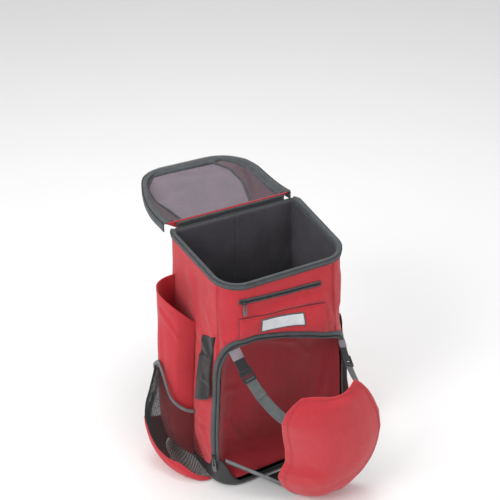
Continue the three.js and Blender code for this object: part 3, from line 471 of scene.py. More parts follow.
# Materials
class Finish:
    """A procedural material: nodes are made and joined in one call each."""

    def __init__(self, name, roughness=0.8, sheen=0.0, coat=0.0, specular=0.5, sheen_roughness=0.5):
        self.material = bpy.data.materials.new(name)
        self.material.use_nodes = True
        self.tree = self.material.node_tree
        self.shader = self.tree.nodes["Principled BSDF"]
        for socket, value in (
            ("Roughness", roughness), ("Sheen Weight", sheen), ("Sheen Roughness", sheen_roughness),
            ("Coat Weight", coat), ("Coat Roughness", 0.35), ("Specular IOR Level", specular),
        ):
            self.shader.inputs[socket].default_value = value
        self.uv = self.node("ShaderNodeUVMap", uv_map="cloth").outputs[0]
        self.place = self.node("ShaderNodeTexCoord").outputs["Object"]

    def node(self, kind, inputs=(), **settings):
        made = self.tree.nodes.new(kind)
        for name, value in settings.items():
            setattr(made, name, value)
        for key, value in dict(inputs).items():
            if isinstance(value, bpy.types.NodeSocket):
                self.tree.links.new(value, made.inputs[key])
            else:
                made.inputs[key].default_value = value
        return made

    def noise(self, size, detail=2.0, rough=0.5, where=None, distort=0.0):
        """Noise with features about size metres across."""
        return self.node("ShaderNodeTexNoise", {
            "Vector": where or self.place, "Scale": 1 / size, "Detail": detail, "Roughness": rough,
            "Distortion": distort,
        }).outputs["Fac"]

    def wave(self, pitch, axis):
        return self.node("ShaderNodeTexWave", {
            "Vector": self.uv, "Scale": 0.31416 / pitch, "Distortion": 0.0,
        }, bands_direction=axis).outputs["Fac"]

    def math(self, kind, a, b=0.0):
        return self.node("ShaderNodeMath", {0: a, 1: b}, operation=kind).outputs[0]

    def span(self, value, low, high, to_low, to_high):
        return self.node("ShaderNodeMapRange", {
            "Value": value, "From Min": low, "From Max": high, "To Min": to_low, "To Max": to_high,
        }).outputs[0]

    def blend(self, factor, a, b, kind="MIX"):
        made = self.node("ShaderNodeMix", {"Factor": factor}, data_type="RGBA", blend_type=kind)
        for index, value in ((6, a), (7, b)):
            if isinstance(value, bpy.types.NodeSocket):
                self.tree.links.new(value, made.inputs[index])
            else:
                made.inputs[index].default_value = (*value, 1)
        return made.outputs[2]

    def weave(self, pitch):
        """Plain weave: over and under threads in turn."""
        over = self.node("ShaderNodeTexChecker", {"Vector": self.uv, "Scale": 1 / pitch}).outputs["Fac"]
        warp, weft = self.wave(pitch, "X"), self.wave(pitch, "Y")
        return self.node("ShaderNodeMix", {0: over, 2: warp, 3: weft}).outputs[0]

    def bump(self, height, distance, strength=1.0, under=None):
        inputs = {"Height": height, "Distance": distance, "Strength": strength}
        if under:
            inputs["Normal"] = under
        return self.node("ShaderNodeBump", inputs).outputs[0]

    def use(self, colour=None, roughness=None, normal=None):
        for socket, value in (("Base Color", colour), ("Roughness", roughness), ("Normal", normal)):
            if value is not None:
                self.tree.links.new(value, self.shader.inputs[socket])
        return self.material


def srgb(*values):
    return tuple(((v / 255 + 0.055) / 1.055) ** 2.4 if v > 10 else v / 255 / 12.92 for v in values)


def fabric(name, colour, worn, pitch=0.0009, depth=0.00016, crumple=0.0006, roughness=0.78,
           sheen=0.2, coat=0.0, specular=0.4, thread_gap_shade=0.5):
    """Woven cloth: threads, a soft crumple, a colour that shifts over it and painted shade between the
    threads.
    """
    f = Finish(name, roughness, sheen, coat, specular)
    threads = f.weave(pitch)
    broad, fine = f.noise(0.045, 3, 0.55), f.noise(0.006, 2, 0.6)
    mixed = f.math("ADD", f.math("MULTIPLY", broad, 0.6), f.math("MULTIPLY", fine, 0.4))
    tint = f.span(mixed, 0.32, 0.68, 0, 1)
    tone = f.blend(tint, colour, worn)
    # Painted shade: the colour darkens where the weave is low, between the threads.
    dark = tuple(c * 0.66 for c in colour)
    tone = f.blend(f.span(threads, 0, 1, thread_gap_shade, 0.0), tone, dark)
    rough = f.span(broad, 0.3, 0.7, roughness - 0.07, roughness + 0.07)
    relief = f.bump(f.noise(0.013, 3, 0.5, distort=0.6), crumple, 0.6)
    relief = f.bump(threads, depth, 0.8, relief)
    return f.use(tone, rough, relief)


def ribbed(name, colour, worn, pitch=0.0016, axis="X", roughness=0.7, depth=0.0003, sheen=0.15):
    """Narrow woven tape with ribs and a fine cross thread."""
    f = Finish(name, roughness, sheen, specular=0.4)
    ribs, cross = f.wave(pitch, axis), f.wave(pitch * 0.45, "Y" if axis == "X" else "X")
    blotch = f.noise(0.012, 3, 0.6)
    tone = f.blend(f.span(blotch, 0.35, 0.65, 0, 1), colour, worn)
    # Painted shade: the colour darkens in the grooves between the ribs.
    tone = f.blend(f.span(ribs, 0, 0.6, 0.55, 0.0), tone, tuple(c * 0.5 for c in colour))
    relief = f.bump(blotch, 0.0004, 0.4)
    relief = f.bump(ribs, depth, 0.8, relief)
    relief = f.bump(cross, depth * 0.4, 0.7, relief)
    return f.use(tone, f.span(blotch, 0.3, 0.7, roughness - 0.08, roughness + 0.08), relief)


def moulded(name, colour, worn, roughness=0.38, grain=0.0006, depth=0.00004):
    """Moulded plastic or rubber with a fine grain and scuffs."""
    f = Finish(name, roughness, specular=0.5)
    scuff, speck = f.noise(0.009, 4, 0.65), f.noise(grain, 2, 0.5)
    tone = f.blend(f.span(scuff, 0.4, 0.75, 0, 0.7), colour, worn)
    return f.use(tone, f.span(scuff, 0.3, 0.8, roughness - 0.08, roughness + 0.16), f.bump(speck, depth, 0.7))


RED, RED_WORN = srgb(196, 34, 47), srgb(209, 52, 63)
red_cloth = fabric("red_cloth", RED, RED_WORN)
# Painted shade: the recess behind the flap gets a darker copy of the red cloth.
recess_cloth_painted_shade = fabric("recess_cloth_painted_shade", srgb(158, 26, 38), srgb(176, 34, 46))
coated = fabric("coated_cloth", srgb(26, 28, 29), srgb(38, 40, 41),
    0.0011, 0.00012, 0.0007, 0.46, 0.05, 0.15, 0.5)
back_cloth = fabric("back_cloth", srgb(58, 61, 64), srgb(72, 75, 78))
lid_inside = fabric("lid_inside", srgb(112, 103, 112), srgb(132, 116, 127),
    0.0009, 0.00008, 0.0009, 0.5, 0.1, 0.1)
lining_cloth = fabric("lining_cloth", srgb(74, 72, 78), srgb(90, 86, 92),
    0.0009, 0.00008, 0.0008, 0.55, 0.1, 0.1)
# Painted shade: the lid lining's side walls get a darker copy of the lining colour.
gusset_lining_painted_shade = fabric("gusset_lining_painted_shade", srgb(84, 66, 74), srgb(98, 76, 84),
    0.0009, 0.00008, 0.0008, 0.52, 0.1, 0.1)
zip_tape = ribbed("zip_tape", srgb(66, 70, 73), srgb(84, 88, 91), 0.0018, "Y")
zip_coil = moulded("zip_coil", srgb(34, 36, 38), srgb(58, 60, 62), 0.34)
binding = ribbed("binding", srgb(112, 115, 118), srgb(132, 135, 138), 0.0022, "X")
web_black = ribbed("web_black", srgb(24, 25, 27), srgb(36, 37, 39), 0.0026, "X")
web_grey = ribbed("web_grey", srgb(82, 87, 88), srgb(98, 102, 103), 0.0026, "X")
tab_cloth = ribbed("tab_cloth", srgb(132, 122, 130), srgb(148, 138, 145), 0.0022, "X")
plastic = moulded("plastic_black", srgb(20, 21, 22), srgb(44, 45, 46))
puller_rubber = moulded("puller_rubber", srgb(96, 99, 101), srgb(118, 121, 123), 0.5)
metal_grey = moulded("slider", srgb(52, 54, 56), srgb(88, 90, 92), 0.35)
metal_grey.node_tree.nodes["Principled BSDF"].inputs["Metallic"].default_value = 0.7
net_yarn = ribbed("net_yarn", srgb(24, 25, 27), srgb(38, 39, 41), 0.0008, "X", 0.75, 0.0001)
thread_red = ribbed("thread_red", srgb(168, 30, 42), srgb(196, 48, 58), 0.0008, "X", 0.6, 0.0001)
thread_dark = ribbed("thread_dark", srgb(40, 42, 44), srgb(66, 68, 70), 0.0008, "X", 0.6, 0.0001)
thread_grey = ribbed("thread_grey", srgb(120, 122, 124), srgb(140, 142, 144), 0.0008, "X", 0.6, 0.0001)


def hook_and_loop(name):
    f = Finish(name, 0.95, 0.3, specular=0.2)
    fuzz, clump = f.noise(0.0011, 3, 0.7), f.noise(0.008, 2, 0.6)
    tone = f.blend(f.span(fuzz, 0.35, 0.7, 0, 1), srgb(14, 14, 15), srgb(36, 36, 38))
    tone = f.blend(f.span(clump, 0.35, 0.7, 0, 0.5), tone, srgb(24, 24, 26))
    return f.use(tone, f.span(clump, 0.3, 0.7, 0.88, 0.98), f.bump(fuzz, 0.0005, 0.9))


def satin_label(name):
    f = Finish(name, 0.45, 0.2, specular=0.5)
    weft, blotch = f.wave(0.0006, "Y"), f.noise(0.01, 2, 0.5)
    tone = f.blend(f.span(blotch, 0.35, 0.65, 0, 1), srgb(214, 217, 222), srgb(228, 230, 233))
    # Painted shade: the colour darkens in the grooves of the weft.
    tone = f.blend(f.span(weft, 0, 1, 0.3, 0), tone, srgb(176, 180, 186))
    return f.use(tone, f.span(blotch, 0.3, 0.7, 0.4, 0.52), f.bump(weft, 0.0001, 0.6))


def air_mesh(name):
    """Padded knit with small round holes."""
    f = Finish(name, 0.9, 0.3, specular=0.25)
    cells = f.node("ShaderNodeTexVoronoi", {"Vector": f.uv,
        "Scale": 330.0, "Randomness": 0.12}).outputs["Distance"]
    hole = f.span(cells, 0.12, 0.42, 0, 1)
    blotch = f.noise(0.03, 3, 0.6)
    tone = f.blend(f.span(blotch, 0.35, 0.65, 0, 1), srgb(62, 64, 67), srgb(78, 80, 83))
    # Painted shade: the holes are darkened where shade falls into them.
    tone = f.blend(f.span(hole, 0, 1, 0.85, 0), tone, srgb(20, 21, 22))
    return f.use(tone, f.span(blotch, 0.3, 0.7, 0.85, 0.95), f.bump(hole, 0.0008, 0.8))


loop_black = hook_and_loop("hook_and_loop")
label_satin = satin_label("label_satin")
pad_mesh = air_mesh("pad_mesh")


def lay_out(a, b, n):
    return np.linspace(a, b, n)


# Body panels
def panel(name, node, low_turn, high_turn, low, columns, rows, cloth):
    piece = Piece(name)
    if isinstance(columns, int):
        columns = lay_out(low_turn, high_turn, columns)
    turn, v = np.meshgrid(columns, lay_out(0, 1, rows), indexing="ij")
    z = mix(low(turn), rim_z(turn), v)
    pull = np.minimum(laid(turn) - laid(low_turn), laid(high_turn) - laid(turn))
    pull = -1.3 * np.exp(-((pull / 2.6) ** 2))
    shell(piece, body_at(turn, z, pull), body_point(turn, z, -PANEL), (0, 0, 0))
    edge = z[0]
    for at, way in ((low_turn, 1), (high_turn, -1)):
        line_turn = turned(laid(at) + way * 3.2)
        heights = lay_out(max(low(np.array(line_turn)), 10) + 12, rim_z(line_turn) - 14, 90)
        path, up = body_line(np.full(90, line_turn), heights, 0.15)
        stitches(piece, path, up, slot=1)
    return piece.build([cloth, thread_red if cloth is red_cloth else thread_dark], [node])


panel("front_panel_cloth", "front_panel", -1.734, 1.114, opening_z, 190, 84, red_cloth)
panel("side_cloth_left", "side_panel_left", -3.474, -1.746,
      lambda t: boot_z(t) + 1.2, 130, 190, red_cloth)


def right_edge(turn):
    """Lower edge of the right side: along the zip, down its leg, then along the boot."""
    leg = RIM * np.interp(turn, [1.73, 1.76, 1.775, 1.79], [0.470, 0.38, 0.2, 0.157])
    return np.where(turn < 1.73, opening_z(turn), np.where(turn < 1.79, leg, boot_z(turn) + 1.2))


right_columns = np.concatenate([lay_out(1.126, 1.72, 44), lay_out(1.73, 1.79, 13), lay_out(1.80, 3.474, 96)])
panel("side_cloth_right", "side_panel_right", 1.126, 3.474,
      right_edge, right_columns, 170, red_cloth)


def back_round(q):
    return np.where(q > 5, q - 10, q)


piece = Piece("back_cloth_panel")
q, v = np.meshgrid(lay_out(3.526, 6.474, 90), lay_out(0, 1, 60), indexing="ij")
turn = back_round(q)
z = mix(boot_z(turn) + 1.2, rim_z(turn), v)
shell(piece, body_point(turn, z, 0.6 * noise(laid(turn) / 40, z / 60, 21)), body_point(turn, z, -PANEL))
piece.build([back_cloth], ["back_panel"])

# Boot
piece = Piece("boot_cloth")
boot_turn = lay_out(-5, 5, 261)
sizes = np.array([0.0, 0.3, 0.6, 0.82, 0.90, 0.925, 0.95, 0.97, 0.985, 0.995, 1.0])
rises = np.array([0.0, 0.0, 0.0, 0.0, 0.0, 0.02, 0.1, 0.25, 0.48, 0.74, 1.0])
turn, row = np.meshgrid(boot_turn, np.arange(31), indexing="ij")
edge = body_point(turn, BOOT_BILGE)
front = body_section(BOOT_BILGE)[1]
middle = (front + DEPTH / 2) / 2
low_row = np.minimum(row, 10)
low_boot = points(
    edge[..., 0] * sizes[low_row], middle + (edge[..., 1] - middle) * sizes[low_row],
    BOOT_BILGE * rises[low_row]
)
climb = np.clip((row - 10) / 20, 0, 1)
height = mix(BOOT_BILGE, boot_z(turn), climb)
bump_up = 0.8 * noise(laid(turn) / 34, height / 22, 31) * ease(climb * 3)
high_boot = body_point(turn, height,
    bump_up - 0.9 * np.exp(-(((1 - climb) * (boot_z(turn) - BOOT_BILGE) / 2) ** 2)))
outer = np.where((row <= 10)[..., None], low_boot, high_boot)
shell(piece, outer, thickened(outer, -BOOT_WALL))
turns = lay_out(-4.9, 4.9, 500)
seam_z = boot_z(turns) - 3.0
stitches(piece, body_point(turns, seam_z, 0.4), body_line(turns, seam_z, 0)[1], slot=1)
piece.build([coated, thread_dark], ["base_boot"])

# Lining of the main compartment, with its floor
LINING_LOW = BOOT_BILGE + BOOT_WALL + 4
SHELF_LOW, SHELF_HIGH = RIM * 0.768, RIM * 0.815


def lining_point(turn, z, inset):
    p = body_point(turn, z, -(PANEL + 1.3) - inset)
    front = body_section(z)[1]
    behind = mix(front + PANEL + 42 + 2 + 5, front + PANEL, ease((z - SHELF_LOW) / (SHELF_HIGH - SHELF_LOW)))
    p[..., 1] = np.maximum(p[..., 1], behind + inset)
    return p


piece = Piece("lining_cloth_tube")
turn, row = np.meshgrid(lay_out(-5, 5, 241), np.arange(70), indexing="ij")
share = np.clip((row - 9) / 60, 0, 1)
z = mix(LINING_LOW, rim_z(turn) - 1, share)
wave = 1.6 * noise(laid(turn) / 38, z / 60, 41) + 0.7 * noise(laid(turn) / 15, z / 24, 43)
wave = wave * ease((rim_z(turn) - z) / 30) * ease(row / 14) * ease((5 - np.abs(turn)) / 0.5)
wall_in = lining_point(turn, z, np.maximum(wave, -0.6))
wall_out = lining_point(turn, z, np.maximum(wave, -0.6) + 1.6)
close = np.clip(row / 9, 0.0, 1)[..., None]
centre = np.array([0.0, 24.0, LINING_LOW])
shell(piece, centre + (wall_in - centre) * close,
      centre + (wall_out - centre) * close + [0, 0, 1.5] * (1 - close))
piece.build([lining_cloth], ["compartment_lining"])

# Recess behind the front flap
piece = Piece("recess_cloth_dish")
across, v = np.meshgrid(lay_out(-1, 1, 150), lay_out(0, 1, 110), indexing="ij")


def recess_point(across, v, inset):
    turn = across * 1.66
    z = mix(BOOT_BILGE + BOOT_WALL + 6, opening_z(turn) - 2, v)
    p = body_point(turn, z, -(PANEL + 1.3) - inset)
    hollow = (1 - np.abs(across) ** 10) * (1 - np.abs(2 * v - 1) ** 8)
    back = body_section(z)[1] + PANEL + 42 + inset
    crumple = 2.4 * noise(across * 3.2, v * 4, 51) + 1.2 * noise(across * 9, v * 7, 53)
    crumple += folds(across * 150, v * 320, RECESS_FOLDS)
    dip = np.clip(back - p[..., 1], 0, 44) - crumple * hollow
    p[..., 0] *= 1 - 0.05 * hollow
    p[..., 1] += dip * hollow
    return p


RECESS_FOLDS = (
    (-120, 120, -60, 30, 9, 3), (-140, 200, -90, 180, 8, 2.4), (-60, 300, 30, 270, 10, 3),
    (10, 300, 70, 230, 9, 2.6), (-130, 60, -20, 20, 8, 2.5), (100, 100, 130, 240, 10, 2.4),
)
shell(piece, recess_point(across, v, 0.0), recess_point(across, v, 2.0))
piece.build([recess_cloth_painted_shade], ["flap_recess"])


# Zip round the rim
piece = Piece("rim_zip_tape")
turns = lay_out(-3.6, 3.6, 420)
# Lift off the panel and height over its edge, outside and inside of the folded tape
RIM_OUTSIDE = np.array([
    (1.4, -7.6), (2.2, -7.0), (2.1, -6.2), (1.9, -5), (2.1, -4), (3.1, -2.6),
    (3.4, -0.4), (2.9, 1.8), (1.5, 3.2),
    (-0.6, 3.8), (-3, 3.7), (-5.4, 3.0), (-7.0, 1.4), (-7.7, -1.2), (-7.5, -6), (-7.4, -10.5),
])
RIM_INSIDE = np.array([
    (0.6, -7.6), (0.6, -7.0), (0.6, -6.2), (0.6, -5), (0.6, -4), (0.6, -2.6),
    (0.6, -0.4), (0.5, 0.5), (0.2, 1.0),
    (-1.0, 1.1), (-3, 1.1), (-5.2, 0.8), (-6.0, 0.2), (-6.2, -1.2), (-6.2, -6), (-6.2, -10.5),
])
turn = np.broadcast_to(turns[:, None], (420, len(RIM_OUTSIDE)))
shell(piece, *(body_point(turn, rim_z(turn) + rows[:, 1], rows[:, 0]) for rows in (RIM_OUTSIDE, RIM_INSIDE)))
seam_z = rim_z(turns) - 6.0
stitches(piece, body_point(turns, seam_z, 2.3), body_line(turns, seam_z, 0)[1], *SMALL_STITCH, slot=1)
path = body_point(turns, rim_z(turns) + 3.0, 2.2)
teeth(piece, path, np.broadcast_to([0.0, 0, 1], path.shape), 2.6, slot=2)
piece.build([zip_tape, thread_dark, zip_coil], ["rim_zip"])


# Zip round the flap opening, laid out on the unrolled body
def smooth_line(s, z, count):
    run = np.concatenate([[0], np.cumsum(np.hypot(np.diff(s), np.diff(z)))])
    rows = {"at": run, "s": np.asarray(s, float), "z": np.asarray(z, float)}
    at = lay_out(0, run[-1], count)
    return read(rows, at, "s"), read(rows, at, "z")


def laid_band(piece, s, z, xs, top, low, slots=(0, 0, 0), relief=1.0):
    """A tape on the body along a line in the unrolled cloth. Positive x is to the left of the way it runs."""
    ds, dz = np.gradient(s), np.gradient(z)
    size = np.hypot(ds, dz)
    grid_s = s[:, None] - (dz / size)[:, None] * xs
    grid_z = z[:, None] + (ds / size)[:, None] * xs
    turn = turned(grid_s)
    outer = body_at(turn, grid_z, np.broadcast_to(top, grid_s.shape))
    inner = body_at(turn, grid_z, np.broadcast_to(low, grid_s.shape))
    shell(piece, outer, inner, slots)


def laid_path(s, z, x, lift):
    ds, dz = np.gradient(s), np.gradient(z)
    size = np.hypot(ds, dz)
    return body_line(turned(s - dz / size * x), z + ds / size * x, lift)


open_s, open_z = smooth_line(laid(opening_rows["turn"]), opening_rows["height"] * RIM, 520)
share = lay_out(0, 1, 520)
narrow = mix(1.0, 0.65, np.sin(math.pi * share) ** 3)
piece = Piece("opening_zip_tape")
xs = np.array([-10, -9.2, -7.6, -5.2, -4.4, -3.0, -1.6, -0.6, 0.4, 2.2, 4.6, 6.6, 8.4, 9.4, 10])
heights = np.array([0.9, 1.9, 2.3, 2.2, 1.2, 1.0, 1.1, 2.2, 2.9, 3.4, 3.5, 3.2, 2.5, 1.9, 0.9])
ds, dz = np.gradient(open_s), np.gradient(open_z)
size = np.hypot(ds, dz)
grid_x = xs[None] * narrow[:, None]
grid_s = open_s[:, None] - (dz / size)[:, None] * grid_x
grid_z = open_z[:, None] + (ds / size)[:, None] * grid_x
outer = body_at(turned(grid_s), grid_z, np.broadcast_to(heights, grid_s.shape))
inner = body_at(turned(grid_s), grid_z, 0.5)
shell(piece, outer, inner)
path, up = laid_path(open_s, open_z, -3.0 * narrow, 1.9)
teeth(piece, path, up, 2.8, slot=2)
for x in (-7.4, 8.6):
    path, up = laid_path(open_s, open_z, x * narrow, 2.5 if x > 0 else 2.35)
    stitches(piece, path, up, 3.8, 2.6, 0.6, 0.5, slot=1)
piece.build([zip_tape, thread_dark, zip_coil], ["flap_zip_body"])

# Closed zip of the upper pocket
pocket_turn = np.array([-1.24, -1.10, -0.75, -0.25, 0.25, 0.78])
pocket_high = np.array([0.934, 0.932, 0.926, 0.920, 0.916, 0.912]) * RIM
zip_s, zip_z = smooth_line(laid(pocket_turn), pocket_high, 150)
piece = Piece("upper_zip_tape")
xs = np.array([-5, -4.6, -3.6, -2.4, -1.9, -1, 0, 1, 1.9, 2.4, 3.6, 4.6, 5])
ridges = np.array([1.0, 1.9, 2.3, 2.1, 1.2, 1.3, 1.4, 1.3, 1.2, 2.1, 2.3, 1.9, 1.0])
laid_band(piece, zip_s, zip_z, xs, ridges, 0.4)
for x in (-0.75, 0.75):
    path, up = laid_path(zip_s, zip_z, x, 1.9)
    teeth(piece, path, up, 1.9, 1.7, slot=2)
for x in (-6.6, 6.6):
    path, up = laid_path(zip_s, zip_z, x, 0.4)
    stitches(piece, path, up, slot=1)
piece.build([zip_tape, thread_red, zip_coil], ["front_pocket_zip"])


# Sliders with their pullers
def slider(name, node, turn, z, length, wide, lean=0.0, shade=puller_rubber):
    piece = Piece(name)
    at = body_at(turn, z, 3.4)
    out = unit(body_point(turn, z, 5) - body_point(turn, z, 4))
    down = np.array([lean, 0.0, -1.0])
    down = unit(down - out * down.dot(out))
    across = np.cross(out, down)
    axes = np.array([across, down, out])
    block(piece, at, axes, (wide * 0.9, 9.5, 3.6), 1.6, 1)
    block(piece, at + out * 2.4 + down * 1.5, axes, (wide * 0.34, 7.5, 2.2), 0.9, 1)
    # The puller is a long loop: a frame round a slot, thicker at its far end
    angle = lay_out(0, 2 * math.pi, 41)[:-1]
    half, reach = wide / 2 - 1.1, (length - 5) / 2
    x = np.sign(np.cos(angle)) * np.abs(np.cos(angle)) ** 0.5 * half
    y = np.sign(np.sin(angle)) * np.abs(np.sin(angle)) ** 0.6 * reach
    x = x * mix(0.72, 1.0, (y + reach) / (2 * reach))
    middle = at + down * (3.5 + reach) + out * 1.1
    ring = middle + across * x[:, None] + down * y[:, None] + out * (0.3 - 0.9 * (y / reach))[:, None]
    tube(piece, ring, 1.35, np.broadcast_to(out, ring.shape), 10, 0, 0.8, True)
    block(piece, middle + down * reach * 0.58 - out * 0.2, axes, (wide * 0.82, reach * 0.74, 2.0), 0.9, 0)
    for k in (-0.16, 0, 0.16):
        block(piece, middle + down * reach * (0.58 + k) + out * 0.75, axes, (wide * 0.5, 1.3, 0.9), 0.4, 0)
    tube(piece, at + out * 2.0 + down * 5 + across * 2.6 * np.cos(angle)[:, None]
         + (down * 2.4 + out * 0.8) * np.sin(angle)[:, None],
         0.6, np.broadcast_to(out, ring.shape), 6, 1, 1, True)
    piece.build([shade, metal_grey], [node])


slider("upper_zip_puller", "front_pocket_puller", -1.13, pocket_high[1] - 1, 28, 7.5, 0.05)
low_z = opening_rows["height"][0] * RIM + 6
slider("opening_puller_left", "flap_puller_left", -1.74, low_z, 38, 11, 0.1)
slider("opening_puller_right", "flap_puller_right", 1.74, low_z, 38, 11, -0.1)


# Flap of the small pocket, and the blank label on it
def patch(piece, from_turn, to_turn, low, high, lift, thick, slots=(0, 0, 0), n=90, m=36, swell=0.0):
    s, v = np.meshgrid(lay_out(laid(from_turn), laid(to_turn), n), lay_out(0, 1, m), indexing="ij")
    turn = turned(s)
    z = mix(low(turn), high(turn), v)
    edge = np.minimum(np.minimum(s - s[0, 0], s[-1, 0] - s), np.minimum((z - low(turn)), (high(turn) - z)))
    crown = thick + swell * ease(edge / 7) - 0.5 * np.exp(-(((edge - 3.4) / 1.2) ** 2)) * (swell > 0)
    shell(piece, body_at(turn, z, lift + crown), body_at(turn, z, lift), slots)
    return turn, z


def flap_top(turn):
    return RIM * mix(0.857, 0.822, (turn - PATCH_FROM) / 2.06)


def flap_low(turn):
    return opening_z(turn) + 8.5


piece = Piece("small_pocket_flap")
patch(piece, PATCH_FROM, PATCH_TO, flap_low, flap_top, LAYER, 1.5, swell=1.1)
s = lay_out(laid(PATCH_FROM) + 3.4, laid(PATCH_TO) - 3.4, 200)
for path, up in (
    body_line(turned(s), flap_top(turned(s)) - 3.4, 2.2),
    body_line(np.full(60, turned(s[0])),
        lay_out(flap_low(turned(s[0])) + 4, flap_top(turned(s[0])) - 4, 60), 2.2),
    body_line(np.full(60, turned(s[-1])),
        lay_out(flap_low(turned(s[-1])) + 4, flap_top(turned(s[-1])) - 4, 60), 2.2),
):
    stitches(piece, path, up, slot=1)
# A dark cord in the zip coil's plastic runs up the flap's sides and along its top: painted shadow under the
# flap's lifted edge.
ends = laid(PATCH_FROM), laid(PATCH_TO)
edge_s = np.concatenate([np.full(30, ends[0]), lay_out(*ends, 120), np.full(30, ends[1])])
edge_turn = turned(edge_s)
edge_z = np.concatenate([
    lay_out(flap_low(PATCH_FROM), flap_top(PATCH_FROM), 30), flap_top(edge_turn[30:150]),
    lay_out(flap_top(PATCH_TO), flap_low(PATCH_TO), 30),
])
path, up = body_line(edge_turn, edge_z, 0.9)
tube(piece, path, 1.1, up, 6, 2)
piece.build([red_cloth, thread_red, zip_coil], ["pocket_flap"])

piece = Piece("blank_label_patch")
LABEL_LEFT, LABEL_RIGHT = -0.735, 0.295


def label_high(turn):
    return RIM * mix(0.836, 0.814, (turn - LABEL_LEFT) / (LABEL_RIGHT - LABEL_LEFT))


def label_low(turn):
    return RIM * mix(0.778, 0.759, (turn - LABEL_LEFT) / (LABEL_RIGHT - LABEL_LEFT))


patch(piece, LABEL_LEFT, LABEL_RIGHT, label_low, label_high, 3.6, 0.9, n=50, m=16)
inner_from, inner_to = turned(laid(LABEL_LEFT) + 2.4), turned(laid(LABEL_RIGHT) - 2.4)
patch(piece, inner_from, inner_to, lambda t: label_low(t) + 2.4, lambda t: label_high(t) - 2.4,
      4.4, 0.5, (1, 1, 1), 46, 14)
s = lay_out(laid(LABEL_LEFT) + 1.2, laid(LABEL_RIGHT) - 1.2, 90)
for height in (label_high(turned(s)) - 1.2, label_low(turned(s)) + 1.2):
    stitches(piece, *body_line(turned(s), height, 4.6), 2.6, 1.9, 0.5, 0.5, slot=2)
piece.build([web_grey, label_satin, thread_grey], ["blank_label"])


# Front flap: tray
def tray_point(across, v):
    side, share = np.where(across < 0, -1.0, 1.0), np.abs(across)
    flat = np.minimum(share / TRAY_FLAT, 1)
    up = np.maximum(share - TRAY_FLAT, 0) / (1 - TRAY_FLAT)
    climb = 1 - (1 - up) ** 1.6
    start_turn = side * mix(flat * TRAY_FLAT_ROUND, TRAY_ROUND, up)
    start = body_point(start_turn, np.maximum(TRAY_EDGE_START * climb, BOOT_BILGE), TRAY_WALL + LAYER)
    start[..., 2] = mix(TRAY_FLOOR, TRAY_EDGE_START, climb)
    end_x = side * mix(flat * TRAY_KEEL_HALF, TRAY_END_HALF, up) + TRAY_SHIFT
    end = points(end_x, np.full(up.shape, TRAY_END_Y), mix(TRAY_FLOOR, TRAY_END_HEIGHT, up))
    return mix(start, end, v[..., None])


FRONT_LOW = float(body_section(BOOT_BILGE)[1])
TRAY_END_Y = FRONT_LOW - TRAY_LENGTH
piece = Piece("tray_cloth")
across, v = np.meshgrid(lay_out(-1, 1, 121), lay_out(0, 1, 50), indexing="ij")
outer = tray_point(across, v)
outer[..., 2] += 0.8 * noise(across * 5, v * 3, 61) * (np.abs(across) > 0.55)
shell(piece, outer, thickened(outer, -2.2))
piece.build([coated], ["flap_tray"])

for side, label in ((-1, "left"), (1, "right")):
    piece = Piece(f"tray_zip_tape_{label}")
    v = lay_out(0, 1, 60)
    path = tray_point(np.full(60, float(side)), v) + [0, 0, TRAY_TAPE_RISE]
    out = unit(np.cross(np.gradient(path, axis=0), [0.0, 0, 1])) * -side
    strip(piece, path, np.broadcast_to([0.0, 0, 1], path.shape), out,
          np.array([-4.5, -3.5, -1.5, 0.5, 2.5, 4, 4.5]),
          np.array([0.5, 1.1, 1.0, 0.9, 1.5, 1.3, 0.6]), np.full(7, -0.6))
    teeth(piece, path + [0, 0, 4.6], out, 2.2, slot=1)
    stitches(piece, path + out * 1.2 + [0, 0, -2.6], out, *SMALL_STITCH, slot=2)
    piece.build([binding, zip_coil, thread_grey], [f"flap_zip_edge_{label}"])


# Cup of the flap
def cup_point(across, share):
    t = (across + 1) / 2
    bulge = 1 - np.abs(across) ** 2.4
    edge = mix(read(cup_rows, share, "back_left"), read(cup_rows, share, "back_right"), t)
    reach = mix(edge, read(cup_rows, share, "middle"), bulge)
    left, right = (
        mix(read(cup_rows, share, name),
            np.interp(share, cup_rows["at"], cup_rows[name]), np.abs(across) ** 6)
        for name in ("left", "right")
    )
    x = CUP_HALF * mix(left, right, t)
    sag = CUP_SAG * np.maximum(share - 0.9, 0) * (1 - across**2) * np.maximum(1 + 1.34 * across, 0)
    return points(x, TRAY_END_Y - CUP_GAP - CUP_REACH * reach, CUP_HEIGHT * (share - sag))


piece = Piece("cup_cloth")
across, share = np.meshgrid(lay_out(-1, 1, 150), lay_out(0.012, 1, 170), indexing="ij")
outer = cup_point(across, share)
edge = np.minimum(np.minimum(1 - across, 1 + across) * 100, np.minimum(share, 1.0 - share) * CUP_HEIGHT)
soft = 1.6 * noise(across * 1.6 + 3, share * 2.2, 71) + 0.6 * noise(across * 5, share * 6, 73)
soft += folds(across * 100, share * 297,
    ((-60, 40, 40, 60, 12, 1.6), (20, 30, 90, 90, 12, 1.8), (-80, 120, -30, 70, 10, 1.4)))
hem = 0.7 * ease((9 - edge) / 2) - 0.4 * np.exp(-(((edge - 9.6) / 1.0) ** 2))
way = normals(outer)
way = way * np.sign(-way[75, 85, 1])
outer = outer + way * (soft * ease(edge / 14) + hem)[..., None]
shell(piece, outer, outer - way * CUP_WALL, (0, 1, 0))
rows = []
for k in range(2):
    fixed = (0.93, -0.93)[k]
    a, b = np.full(160, fixed), lay_out(0.05, 0.985, 160)
    rows.append((a, b))
rows.append((lay_out(-0.93, 0.93, 120), np.full(120, 0.985)))
for a, b in rows:
    path = cup_point(a, b)
    i = (np.clip((a + 1) / 2, 0, 1) * 149).round().astype(int)
    j = (np.clip((b - 0.012) / 0.988, 0, 1) * 169).round().astype(int)
    stitches(piece, outer[i, j] + way[i, j] * 0.25, way[i, j], slot=2)
made = piece.build([red_cloth, coated, thread_red], ["flap_cup"])


